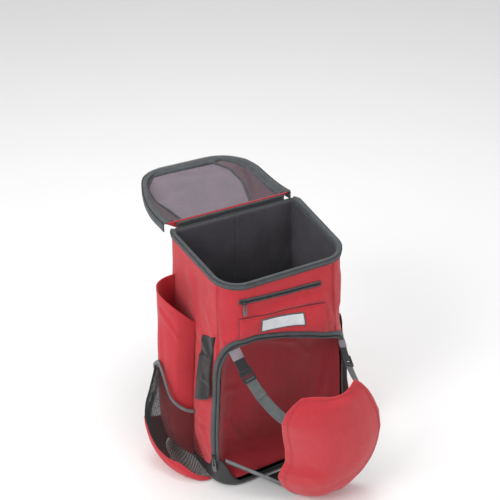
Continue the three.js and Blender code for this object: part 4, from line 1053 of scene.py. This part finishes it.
# Straps of the cup, with their buckles
def flap_strap(side, label):
    turn = side * STRAP_TURN
    top = body_point(turn, opening_z(turn) - 6.5 - STRAP_DROP[label], LAYER + ZIP + STRAP_LIFT)
    bottom = cup_point(np.float64(side * 0.93), np.float64(0.81)) + [0, 11.5, 0]
    normal = unit(np.array([side * 0.42, -0.72, 0.55]))

    def at(t):
        return mix(top, bottom, t[:, None]) - [0, 0, 1] * (STRAP_SAG * t * (1 - t))[:, None]

    def run(name, node, a, b, count, materials, slot, kink=None, tab=False):
        piece = Piece(name)
        t = lay_out(a, b, count)
        path = at(t)
        along = unit(at(t + 0.01) - at(t - 0.01))
        across = unit(np.cross(along, normal))
        up = unit(np.cross(across, along))
        up = up * np.sign(up @ normal)[:, None]
        lift = np.zeros(count)
        if kink is not None:
            lift = 2.6 * np.exp(-(((t - kink) / 0.022) ** 2)) + 1.2 * ease((t - kink) / 0.02)
        path = path + up * lift[:, None]
        xs = np.array([-10, -9.4, -6, -2, 2, 6, 9.4, 10])
        crown = np.array([0.4, 0.9, 1.0, 1.0, 1.0, 1.0, 0.9, 0.4])
        strip(piece, path, across, up, xs, crown, -crown)
        if tab:
            n = int(count * 0.42)
            strip(piece, path[:n], across[:n], up[:n], np.array([-10.6, -9.8, 0, 9.8, 10.6]),
                  np.array([1.6, 2.1, 2.2, 2.1, 1.6]), np.array([0.9] * 5), (1, 1, 1))
            for x in (-8.6, 8.6):
                stitches(piece, path[2:n - 2] + across[2:n - 2] * x + up[2:n - 2] * 2.2,
                         up[2:n - 2], *FINE_STITCH, slot=2)
            for k in (2, n - 3):
                bar = lay_out(-8.6, 8.6, 20)[:, None]
                stitches(piece, path[k] + across[k] * bar + up[k] * 2.2,
                         np.broadcast_to(up[k], (20, 3)), *FINE_STITCH, slot=2)
        if kink is not None:
            k = int(np.argmin(np.abs(t - kink)))
            n = int(14 / np.linalg.norm(path[1] - path[0]))
            low, high = max(k - n, 1), k
            strip(piece, path[low:high], across[low:high], up[low:high], xs, np.full(8, 2.6), np.full(8, 1.0))
        piece.build(materials, [node])
        return path, across, up

    reach = BUCKLE_HALF / np.linalg.norm(bottom - top)
    run(f"strap_tab_{label}", f"flap_strap_tab_{label}", 0, BUCKLE_AT - reach * 0.4, 40,
        [web_black, tab_cloth, thread_grey], "webbing_black", tab=True)
    run(f"strap_web_{label}", f"flap_strap_{label}", BUCKLE_AT + reach * 0.4, 1, 150,
        [web_grey, web_grey, thread_grey], "webbing_grey", 0.56 if side < 0 else None)
    piece = Piece(f"strap_buckle_{label}")
    t = np.array([BUCKLE_AT])
    middle = at(t)[0]
    along = unit(at(t + 0.01) - at(t - 0.01))[0]
    across = unit(np.cross(along, normal))
    up = np.cross(across, along)
    up = up * np.sign(up @ normal)
    axes = np.array([across, along, up])
    for x in (-11.3, 11.3):
        block(piece, middle + across * x, axes, (3.4, 24, 5.2), 1.5)
    for y, wide, high, lift in ((-10.6, 3.2, 4.4, 0), (-1.2, 3.6, 3.6, 0.9),
            (4.2, 2.6, 3.4, 1.4), (10.4, 3.4, 4.8, 0.6)):
        block(piece, middle + along * y + up * lift, axes, (22, wide, high), 1.2)
    block(piece, middle - along * 5.8 + up * 1.6, axes, (18.5, 8.4, 1.4), 0.6, 1)
    piece.build([plastic, web_black], [f"flap_buckle_{label}"])


flap_strap(-1, "left")
flap_strap(1, "right")


# Lid
def lid_point(across, share, inset):
    unit_half = WIDTH / 2
    side, out = np.sign(across), np.abs(across)
    edges = np.where(side < 0, read(lid_rows, share, "left"), read(lid_rows, share, "right"))
    half = unit_half * edges - inset
    inner = np.minimum(read(lid_rows, share, "seam") * unit_half, half - 4)
    drop = np.maximum(read(lid_rows, share, "drop") * LID_DROP - inset, 0)
    past = np.maximum(out - 0.55, 0) / 0.45
    x = np.where(past > 0, mix(inner, half, past), inner * out / 0.55)
    y = LID_START + mix(inset, LID_LENGTH - inset, share)
    return points(LID_SHIFT + side * x, y, HINGE_Z - drop * (1 - past**1.2))


LID_FOLDS = (
    (-70, 40, 40, 60, 14, 2.4), (-60, 110, 10, 150, 14, 2.2),
    (20, 100, 60, 180, 12, 2.2), (-90, 60, -110, 150, 8, 1.8),
    (90, 60, 110, 150, 8, 2.2), (-20, 190, 60, 170, 9, 1.6),
)
piece = Piece("lid_outer_cloth")
across, share = np.meshgrid(
    lay_out(-1, 1, 161), np.concatenate([lay_out(0, 0.05, 14)[:-1], lay_out(0.05, 1, 110)]), indexing="ij"
)
edge = np.minimum(1 - np.abs(across), np.minimum(share, 1 - share) * 3)
soft = 2.0 * noise(across * 2.1, share * 2.6, 81) + 1.1 * noise(across * 6, share * 5, 83)
soft = (soft + folds(across * 130, share * 222, LID_FOLDS)) * ease(edge / 0.16)
outer = lid_point(across, share, 0.0)
outer[..., 2] += soft
way = normals(outer)
way = way * np.sign(-way[80, 60, 2])
shell(piece, outer, outer - way * 2.3)
for k in (36, 124):
    stitches(piece, outer[k + 2, 8:] + way[k + 2, 8:] * 0.2, way[k + 2, 8:], slot=1)
    tube(piece, outer[k, 6:-2] + way[k, 6:-2] * 0.6, 1.5, way[k, 6:-2], 8, 0)
made = piece.build([red_cloth, thread_red], ["lid_shell"])

piece = Piece("lid_lining_cloth")
inside = lid_point(across, share, 3.4)
inside[..., 2] += soft * 0.9
up_way = normals(inside)
up_way = up_way * np.sign(up_way[80, 60, 2])
lining = inside + up_way * 1.2
n, m = lining.shape[:2]
shell(piece, lining, inside, (0, 0, 0))
first = piece.faces[0][0]
middle_u = first.min(axis=1) // m
# The side walls take the darker lining copy: painted shade.
is_gusset = (middle_u < 36) | (middle_u >= 124)
piece.faces[0] = (first[~is_gusset], 0)
piece.faces.append((first[is_gusset], 1))
for k in (36, 124):
    path = lining[k, 8:-3]
    up = up_way[k, 8:-3]
    tube(piece, path + up * 0.8, 2.6, up, 10, 2, 0.7)
    stitches(piece, path + up * 2.5, up, 4.4, 3, 0.8, 0.7, slot=3)
made = piece.build([lid_inside, gusset_lining_painted_shade, zip_tape, thread_dark], ["lid_lining"])


# The lid's zip tape folds over its edge and lies on the lining
def smoothed(path, reach=4):
    """Rounds the corners of a path along its first axis and keeps its ends."""
    wide = np.pad(path, [(reach, reach)] + [(0, 0)] * (path.ndim - 1), "edge")
    even = sum(wide[k:k + len(path)] for k in range(2 * reach + 1)) / (2 * reach + 1)
    return np.concatenate([path[:1], even[1:-1], path[-1:]])


LID_TAPE = 15.0
shares = np.concatenate([lay_out(0.0, 0.9, 110), lay_out(0.9, 1.0, 40)[1:]])
count = len(shares)
edge_across = np.concatenate([np.full(count, -1.0), lay_out(-1, 1, 90)[1:-1], np.full(count, 1.0)])
edge_share = np.concatenate([shares, np.full(88, 1.0), shares[::-1]])
path = lid_point(edge_across, edge_share, 0.0)
path[:, 2] = HINGE_Z
path = smoothed(path)
along = np.gradient(path, axis=0)
out = unit(np.stack([-along[:, 1], along[:, 0], np.zeros(len(path))], -1))
gusset_wide = np.hypot(
    (read(lid_rows, edge_share, "right") - read(lid_rows, edge_share, "seam")) * WIDTH / 2,
    read(lid_rows, edge_share, "drop") * LID_DROP,
)
lean = LID_TAPE * 0.45 / np.maximum(gusset_wide, 24.0)


def inside_tape(w, inset):
    """A place on the lining, w from the lid's edge to the tape's own edge."""
    return lid_point(edge_across * (1 - w * lean), edge_share * (1 - w * LID_TAPE / LID_LENGTH), inset)


FOLD_OUTSIDE = (
    (5.0, -15), (5.6, -12), (5.3, -6), (5.7, -2), (4.6, 1.0), (2.4, 2.5), (-0.6, 2.9), (-3.6, 2.2)
)
FOLD_INSIDE = (
    (2.7, -15), (2.7, -12), (2.7, -6), (2.7, -2), (2.6, -0.2), (1.4, 0.5), (-0.6, 0.6), (-3.0, 0.4)
)
tape_rows = []
for rows, inset, lifts in (
    (FOLD_OUTSIDE, 4.6, (1.6, 2.2, 2.0, 1.9, 2.6, 2.8, 2.0, 0.9)), (FOLD_INSIDE, 4.6, (0.15,) * 8),
):
    grid = [path + out * x + [0, 0, z] for x, z in rows]
    grid += [
        smoothed(inside_tape(w, inset)) + [0, 0, lift]
        for w, lift in zip((0.06, 0.18, 0.34, 0.5, 0.62, 0.78, 0.92, 1.0), lifts)
    ]
    tape_rows.append(np.stack(grid, 1))
piece = Piece("lid_zip_tape")
up = np.array([0.0, 0, 1])
shell(piece, *tape_rows)
teeth(piece, path + out * 4.6 + up * 1.9, np.broadcast_to(up, path.shape), 2.6, slot=2)
for drop in (-4.5, -12.5):
    stitches(piece, path + out * 5.7 + up * drop, out, *SMALL_STITCH, slot=1)
for k in (10, 14):
    line = tape_rows[0][:, k] + up * 0.15
    stitches(piece, line, np.broadcast_to(up, line.shape), *SMALL_STITCH, slot=1)
piece.build([zip_tape, thread_dark, zip_coil], ["lid_zip"])

piece = Piece("hinge_cloth")
t, v = np.meshgrid(lay_out(-1, 1, 120), lay_out(-15, 15, 40), indexing="ij")
ripple = 0.9 * noise(t * 7, v / 9, 91) + 0.5 * noise(t * 17, v / 14, 93)
fold = 1.6 * np.exp(-(((v - 13) / 3) ** 2))
y = HINGE_Y + 0.2 - ripple - fold
x = LID_SHIFT * 0.5 + t * (WIDTH / 2 - BACK_CORNER)
outer = points(x, y, HINGE_Z - 15 + v)
inner = points(x, np.full(x.shape, HINGE_Y + 2.2), HINGE_Z - 15 + v)
shell(piece, outer, inner)
piece.build([back_cloth], ["lid_hinge"])


# Side pockets
def side_span(share, front, back):
    return mix(front, back, (1 - np.cos(math.pi * share)) / 2)


def sleeve_point(side, share, v, lift=0.0):
    top = 405 * mix(0.85, 1.0, 1 - (1 - share) ** 3.5)
    z = mix(BOOT_BILGE + 4, top, v)
    bulge = 51 * read(sleeve_rows, v, "bulge") * np.sin(math.pi * share) ** 0.8
    y = side_span(share, -2.08, 83.2)
    return points(side * (side_x(y, z) + 1.25 + bulge + lift * np.sin(math.pi * share) ** 0.3), y, z)


SLEEVE_FOLDS = (
    (30, 60, 22, 380, 7, 2.4), (62, 120, 70, 330, 8, 2.6),
    (100, 60, 92, 400, 8, 2.2), (20, 330, 70, 372, 7, 1.8),
    (45, 250, 60, 120, 6, 1.6), (110, 250, 120, 120, 7, 1.8),
)


def pocket_edge(share):
    return POCKET_TOP * read(pocket_edge_rows, share, "height")


def gusset_top(share):
    return POCKET_BASE * read(pocket_edge_rows, share, "gusset")


def pocket_point(side, share, z, lift=0.0):
    height = z / POCKET_TOP
    bulge = 74 * read(pocket_rows, height, "bulge") * np.maximum(np.sin(math.pi * share), 0) ** 0.75
    front = read(pocket_rows, height, "front") * DEPTH / 2 - 4
    y = side_span(share, front, 0.84 * DEPTH / 2)
    return points(side * (side_x(y, z) + 1.25 + bulge + lift), y, z)


def pocket_soft(share, z, seed):
    return 1.6 * noise(share * 5, z / 40, seed) * np.sin(math.pi * share) ** 0.5


for side, label in ((-1, "left"), (1, "right")):
    piece = Piece(f"sleeve_cloth_{label}")
    share, v = np.meshgrid(lay_out(0, 1, 110),
        np.concatenate([lay_out(0, 0.1, 14)[:-1], lay_out(0.1, 1, 110)]), indexing="ij")
    s, z = share * 130, v * 400
    soft = (
        folds(s, z, SLEEVE_FOLDS) + 1.4 * noise(share * 4, v * 3.5, 101 + side)
        + 0.6 * noise(share * 11, v * 9, 103 + side)
    )
    top_down = (1 - v) * 390
    hem = 0.6 * ease((13 - top_down) / 2) - 0.5 * np.exp(-(((top_down - 14) / 1.4) ** 2))
    soft = soft * ease(v * 9) * (0.35 + 0.65 * ease(top_down / 40)) + hem
    outer = sleeve_point(side, share, v, soft)
    inner = thickened(outer, 1.0)
    way = inner - outer
    way = way * np.sign(-side * way[55, 60, 0])
    shell(piece, outer, outer + way * 2.3)
    j = int(np.argmin(np.abs(top_down[0] - 11.5)))
    stitches(piece, outer[2:-2, j] - way[2:-2, j] * 0.3, -way[2:-2, j], slot=1)
    made = piece.build([red_cloth, thread_red], [f"bat_sleeve_{label}"])

    piece = Piece(f"pocket_gusset_{label}")
    share, v = np.meshgrid(lay_out(0, 1, 150), lay_out(0, 1, 36), indexing="ij")
    z = mix(4.0, gusset_top(share) - 1.2, v)
    gather = (
        1.3 * np.sin(share * 150 + 3 * np.sin(share * 17)) * ease((v - 0.55) / 0.45)
        * np.sin(math.pi * share)
    )
    soft = 2.2 * noise(share * 8, v * 2.2, 111 + side) + 1.2 * noise(share * 19, v * 3, 113 + side)
    outer = pocket_point(side, share, z,
        (soft * np.sin(math.pi * share) ** 0.4 + gather * 0.6) * np.sin(math.pi * share) ** 0.3)
    way = normals(outer)
    way = way * np.sign(side * way[75, 18, 0])
    shell(piece, outer, outer - way * 1.8)
    u = lay_out(0.005, 0.995, 200)
    path = pocket_point(side, u, gusset_top(u) - 1.4, 0.4)
    tube(piece, path, 1.5, np.broadcast_to([side * 1.0, 0, 0], path.shape), 8, 0, 0.8)
    made = piece.build([red_cloth, thread_red], [f"ball_pocket_base_{label}"])

    # Net: six-sided holes between strands
    piece = Piece(f"pocket_net_{label}")
    along, up_rows = 64, 52
    i, j = np.meshgrid(np.arange(along), np.arange(up_rows), indexing="ij")
    angle = (np.arange(6) + 0.5) * math.pi / 3
    centre_u = (i + 0.5 * (j % 2) + 0.5) / (along + 0.5)
    centre_v = (j + 0.5) / up_rows
    cell_u, cell_v = 1 / (along + 0.5), 1 / up_rows
    corner_u = centre_u[..., None] + np.cos(angle) * cell_u / math.sqrt(3)
    corner_v = centre_v[..., None] + np.sin(angle) * cell_v / 1.5
    hole_u = centre_u[..., None] + np.cos(angle) * cell_u / math.sqrt(3) * 0.70
    hole_v = centre_v[..., None] + np.sin(angle) * cell_v / 1.5 * 0.70

    def net_point(u, v, lift):
        u, v = np.clip(u, 0, 1), np.clip(v, 0, 1)
        z = mix(gusset_top(u) - 1, pocket_edge(u) + 1.5, v)
        return pocket_point(side, u, z, lift + pocket_soft(u, z, 121 + side) * np.sin(math.pi * v))

    rings = [net_point(corner_u, corner_v, 0.45), net_point(hole_u, hole_v, 0.0),
        net_point(corner_u, corner_v, -0.45)]
    starts = [piece.add(ring, np.stack([corner_u * 250, corner_v * 150], -1)) for ring in rings]
    base = (np.arange(along * up_rows) * 6)[:, None]
    k, after = np.arange(6), (np.arange(6) + 1) % 6
    for a, b in ((starts[0], starts[1]), (starts[1], starts[2])):
        piece.face(np.stack([a + base + k, a + base + after, b + base + after, b + base + k],
            -1).reshape(-1, 4))
    made = piece.build([net_yarn], [f"ball_pocket_net_{label}"])
    net_point(*np.meshgrid(lay_out(0, 1, 60), lay_out(0, 1, 40), indexing="ij"), 0.0)

    piece = Piece(f"pocket_binding_{label}")
    u = lay_out(0, 1, 190)
    path = pocket_point(side, u, pocket_edge(u)) + [0, 0, 5.2]
    pucker = 0.25 * np.sin(np.arange(190) * 1.3)
    along_path = np.gradient(path, axis=0)
    out = unit(np.cross(along_path, [0.0, 0, 1]))
    out = out * np.sign(side * out[95, 0])
    xs = np.array([-4.5, -4.1, -2.6, -0.8, 0.8, 2.6, 4.1, 4.5])
    crown = np.array([0.7, 1.4, 1.7, 1.55, 1.55, 1.7, 1.4, 0.7])
    strip(piece, path, np.broadcast_to([0.0, 0, 1], path.shape), out, np.broadcast_to(xs, (190, 8)),
          crown[None] + pucker[:, None], -crown[None] + pucker[:, None])
    for x in (-2.9, 2.9):
        for face in (1, -1):
            stitches(piece, path + [0, 0, x] + out * 1.75 * face, out * face, 3.4, 2.3, 0.6, 0.5, slot=1)
    piece.build([binding, thread_grey], [f"ball_pocket_binding_{label}"])

# Hook and loop straps
HOOK_UPPER = np.array([
    [2.21, 0.710, 1.84, 0.753, 1.0], [2.23, 0.655, 1.87, 0.702, 1.6], [2.25, 0.598, 1.90, 0.648, 2.4],
])
HOOK_LOWER = np.array([
    [2.24, 0.615, 1.89, 0.662, 4.7], [2.25, 0.550, 1.89, 0.608, 6.4], [2.26, 0.470, 1.89, 0.538, 8.0],
    [2.28, 0.386, 1.90, 0.460, 8.6],
])
for side, label in ((-1, "left"), (1, "right")):
    for name, rows in (("upper", HOOK_UPPER), ("lower", HOOK_LOWER)):
        piece = Piece(f"hook_strap_cloth_{name}_{label}")
        at = np.arange(len(rows), dtype=float)
        spread = {"at": at, **{str(k): rows[:, k] for k in range(5)}}
        i, v = np.meshgrid(lay_out(0, at[-1], 60),
            np.concatenate([[0, 0.02], lay_out(0.06, 0.94, 12), [0.98, 1]]), indexing="ij")
        value = [read(spread, i, str(k)) for k in range(5)]
        turn, z = side * mix(value[0], value[2], v), RIM * mix(value[1], value[3], v)
        edge = np.minimum(v, 1 - v)
        lift = value[4] + 0.5 * noise(i * 2.2, v * 2, 131) + 0.35 * ease(edge / 0.06)
        if name == "upper":
            lift = lift + 0.9 * np.exp(-(((i - at[-1]) * 28 / 6) ** 2))
        relief = 0.8 if name == "upper" else 1.0
        shell(piece, body_at(turn, z, lift), body_at(turn, z, value[4] - 1.7))
        for k in (1, -2):
            col = 2 if k == 1 else 13
            path = body_at(turn[:, col], z[:, col], lift[:, col] + 0.15)
            stitches(piece, path, unit(path - body_at(turn[:, col], z[:, col], 0)), 4, 2.8, 0.7, 0.6, slot=1)
        piece.build([loop_black, thread_dark], [f"hook_strap_{name}_{label}"])

# Back pad, shoulder straps, lower webs and haul handle
PAD_BACK, PAD_LOW, PAD_HIGH = DEPTH / 2 + 0.3, RIM * 0.14, RIM * 0.90
piece = Piece("back_pad_mesh")
x, v = np.meshgrid(lay_out(-1, 1, 121), lay_out(0, 1, 141), indexing="ij")
edge = np.minimum((1 - np.abs(x)) * PAD_HALF, np.minimum(v, 1 - v) * (PAD_HIGH - PAD_LOW))
swell = PAD_THICK * (0.35 + 0.65 * (1 - (1 - np.clip(edge / 16, 0, 1)) ** 2.2))
channel = (
    3.4 * np.exp(-((np.abs(x * PAD_HALF) - 34) / 3.2) ** 2)
    + 3.0 * np.exp(-(((v * 4.0 + 0.5) % 1 - 0.5) * 26 / 3) ** 2) * (v > 0.06) * (v < 0.94)
)
swell = swell - np.minimum(channel, 4) * ease(edge / 12) + 0.5 * noise(x * 5, v * 7, 141)
outer = points(x * PAD_HALF, PAD_BACK + swell, mix(PAD_LOW, PAD_HIGH, v))
shell(piece, outer, points(x * PAD_HALF, np.full(x.shape, PAD_BACK), mix(PAD_LOW, PAD_HIGH, v)))
rim_x = np.concatenate([np.full(60, -1.0), lay_out(-1, 1, 60), np.full(60, 1.0), lay_out(1, -1, 60)]) * 103
rim_v = np.concatenate([lay_out(0, 1, 60), np.full(60, 1.0), lay_out(1, 0, 60), np.full(60, 0.0)])
path = points(rim_x, np.full(240, PAD_BACK + 3.2), mix(PAD_LOW + 1, PAD_HIGH - 1, rim_v))
tube(piece, path, 2.4, np.broadcast_to([0.0, 1, 0], path.shape), 8, 1)
pad = piece.build([pad_mesh, binding], ["back_pad"])

shoulder = table("at out height x", (0, 0, 0.780, 0.80), (1, 0, 0.840, 0.80), (2, 5, 0.868, 0.80),
                 (3, 26, 0.876, 0.82),
                 (4, 46, 0.840, 0.88), (5, 57, 0.740, 0.96), (6, 57, 0.610, 1.04), (7, 48, 0.480, 1.12))
lower_web = table("at out height x", (0, 40, 0.478, 1.12), (1, 30, 0.350, 1.20), (2, 12, 0.240, 1.30),
                  (3, 1.9, 0.180, 1.36), (4, 1.9, 0.150, 1.37))
PAD_FACE = PAD_BACK + PAD_THICK + 0.3
for side, label in ((-1, "left"), (1, "right")):
    t = lay_out(0, 7, 150)
    path = points(side * STRAP_APART * read(shoulder, t, "x"), PAD_FACE + read(shoulder, t, "out") + 6,
        RIM * read(shoulder, t, "height"))
    along = unit(np.gradient(path, axis=0))
    across = np.broadcast_to([1.0, 0, 0], path.shape)
    up = unit(np.cross(across, along))
    piece = Piece(f"shoulder_pad_{label}")
    half = STRAP_HALF * mix(1.0, 0.62, ease((t - 5.6) / 1.4))
    rel = np.array([-1, -0.97, -0.88, -0.7, -0.45, -0.2, 0, 0.2, 0.45, 0.7, 0.88, 0.97, 1])
    crown = np.array([1.0, 3.0, 4.9, 5.9, 6.1, 6.0, 5.8, 6.0, 6.1, 5.9, 4.9, 3.0, 1.0])
    fill = mix(0.45, 1.0, ease(np.minimum(t, 7 - t) / 0.5))[:, None]
    strip(piece, path, across, up, rel[None] * half[:, None], crown[None] * fill, -crown[None] * fill,
          (0, 1, 0))
    for way in (-1, 1):
        tube(piece, path + across * (half * way * 0.985)[:, None], 1.9, up, 8, 2)
    centre = path - up * 6.3
    strip(piece, centre[50:-4], across[50:-4], -up[50:-4], np.array([-12, -11.4, 0, 11.4, 12]),
          np.array([0.6, 1.5, 1.6, 1.5, 0.6]), np.full(5, -0.3), (3, 3, 3))
    for x in (-9.6, 9.6):
        stitches(piece, centre[52:-6] + across[52:-6] * x - up[52:-6] * 1.6, -up[52:-6],
                 4.4, 3, 0.7, 0.6, slot=4)
    made = piece.build([pad_mesh, back_cloth, binding, web_black, thread_grey],
        [f"shoulder_strap_{label}"])
    t = lay_out(0, 4, 110)
    path = points(side * STRAP_APART * read(lower_web, t, "x"), PAD_FACE + read(lower_web, t, "out") + 0.9,
        RIM * read(lower_web, t, "height"))
    along = unit(np.gradient(path, axis=0))
    across = np.broadcast_to([1.0, 0, 0], path.shape)
    up = unit(np.cross(across, along))
    piece = Piece(f"lower_web_strap_{label}")
    strip(piece, path, across, up, np.array([-12.5, -11.9, 0, 11.9, 12.5]), np.array([0.4, 0.9, 1, 0.9, 0.4]),
          -np.array([0.4, 0.9, 1, 0.9, 0.4]))
    for x in (-9.8, 9.8):
        stitches(piece, path[-26:-2] + across[-26:-2] * x + up[-26:-2], up[-26:-2],
                 3.6, 2.6, 0.7, 0.6, slot=1)
    piece.build([web_black, thread_grey], [f"lower_web_{label}"])

piece = Piece("haul_handle_web")
x = lay_out(-58, 58, 160)
path = points(x, PAD_BACK + 3 + 32 * np.maximum(1 - (x / 44) ** 4, 0), np.full(160, RIM * 0.938))
along = unit(np.gradient(path, axis=0))
up = np.cross(along, [0.0, 0, 1])
across = np.broadcast_to([0.0, 0, 1], path.shape)
strip(piece, path, across, up, np.array([-12, -11.2, -6, 0, 6, 11.2, 12]),
      np.array([0.8, 2.2, 2.6, 2.6, 2.6, 2.2, 0.8]),
      -np.array([0.8, 2.2, 2.6, 2.6, 2.6, 2.2, 0.8]))
for z in (-9.6, 9.6):
    for face in (1, -1):
        stitches(piece, path + across * z + up * 2.4 * face, up * face, 4, 2.8, 0.7, 0.6, slot=1)
piece.build([web_black, thread_grey], ["haul_handle"])


# Stage, light and camera
def floor_finish():
    f = Finish("floor_paper", 0.9, specular=0.2)
    tone = f.blend(f.noise(0.4, 2, 0.5), (0.93, 0.93, 0.93), (0.95, 0.95, 0.95))
    return f.use(tone)


bpy.ops.mesh.primitive_plane_add(size=12)
floor = bpy.context.object
floor.name = "floor"
floor.data.materials.append(floor_finish())

world = bpy.data.worlds.new("studio")
world.use_nodes = True
world.node_tree.nodes["Background"].inputs["Color"].default_value = (1, 1, 1, 1)
world.node_tree.nodes["Background"].inputs["Strength"].default_value = 0.62
bpy.context.scene.world = world


def lamp(name, where, aim, size, power):
    light = bpy.data.lights.new(name, "AREA")
    light.shape, light.size, light.energy = "DISK", size, power
    holder = bpy.data.objects.new(name, light)
    bpy.context.scene.collection.objects.link(holder)
    holder.location = where
    way = np.array(aim) - np.array(where)
    holder.rotation_euler = (
        math.atan2(math.hypot(way[0], way[1]), -way[2]), 0, math.atan2(way[1], way[0]) - math.pi / 2
    )


lamp("key", (-2.4, -0.6, 2.2), (0, 0, 0.25), 1.4, 42)
lamp("fill", (1.0, -2.6, 1.8), (0, 0, 0.25), 1.8, 10)
lamp("top", (0.2, 0.3, 3.0), (0, 0, 0.3), 1.6, 30)

camera = bpy.data.cameras.new("camera")
camera.sensor_width, camera.lens = 36.0, 65.69
holder = bpy.data.objects.new("camera", camera)
bpy.context.scene.collection.objects.link(holder)
holder.location = (-0.737635, -1.309978, 1.336909)
holder.rotation_euler = (math.radians(90 - 30.767), 0, math.radians(-29.251))
bpy.context.scene.camera = holder
bpy.context.scene.view_settings.view_transform = "Standard"
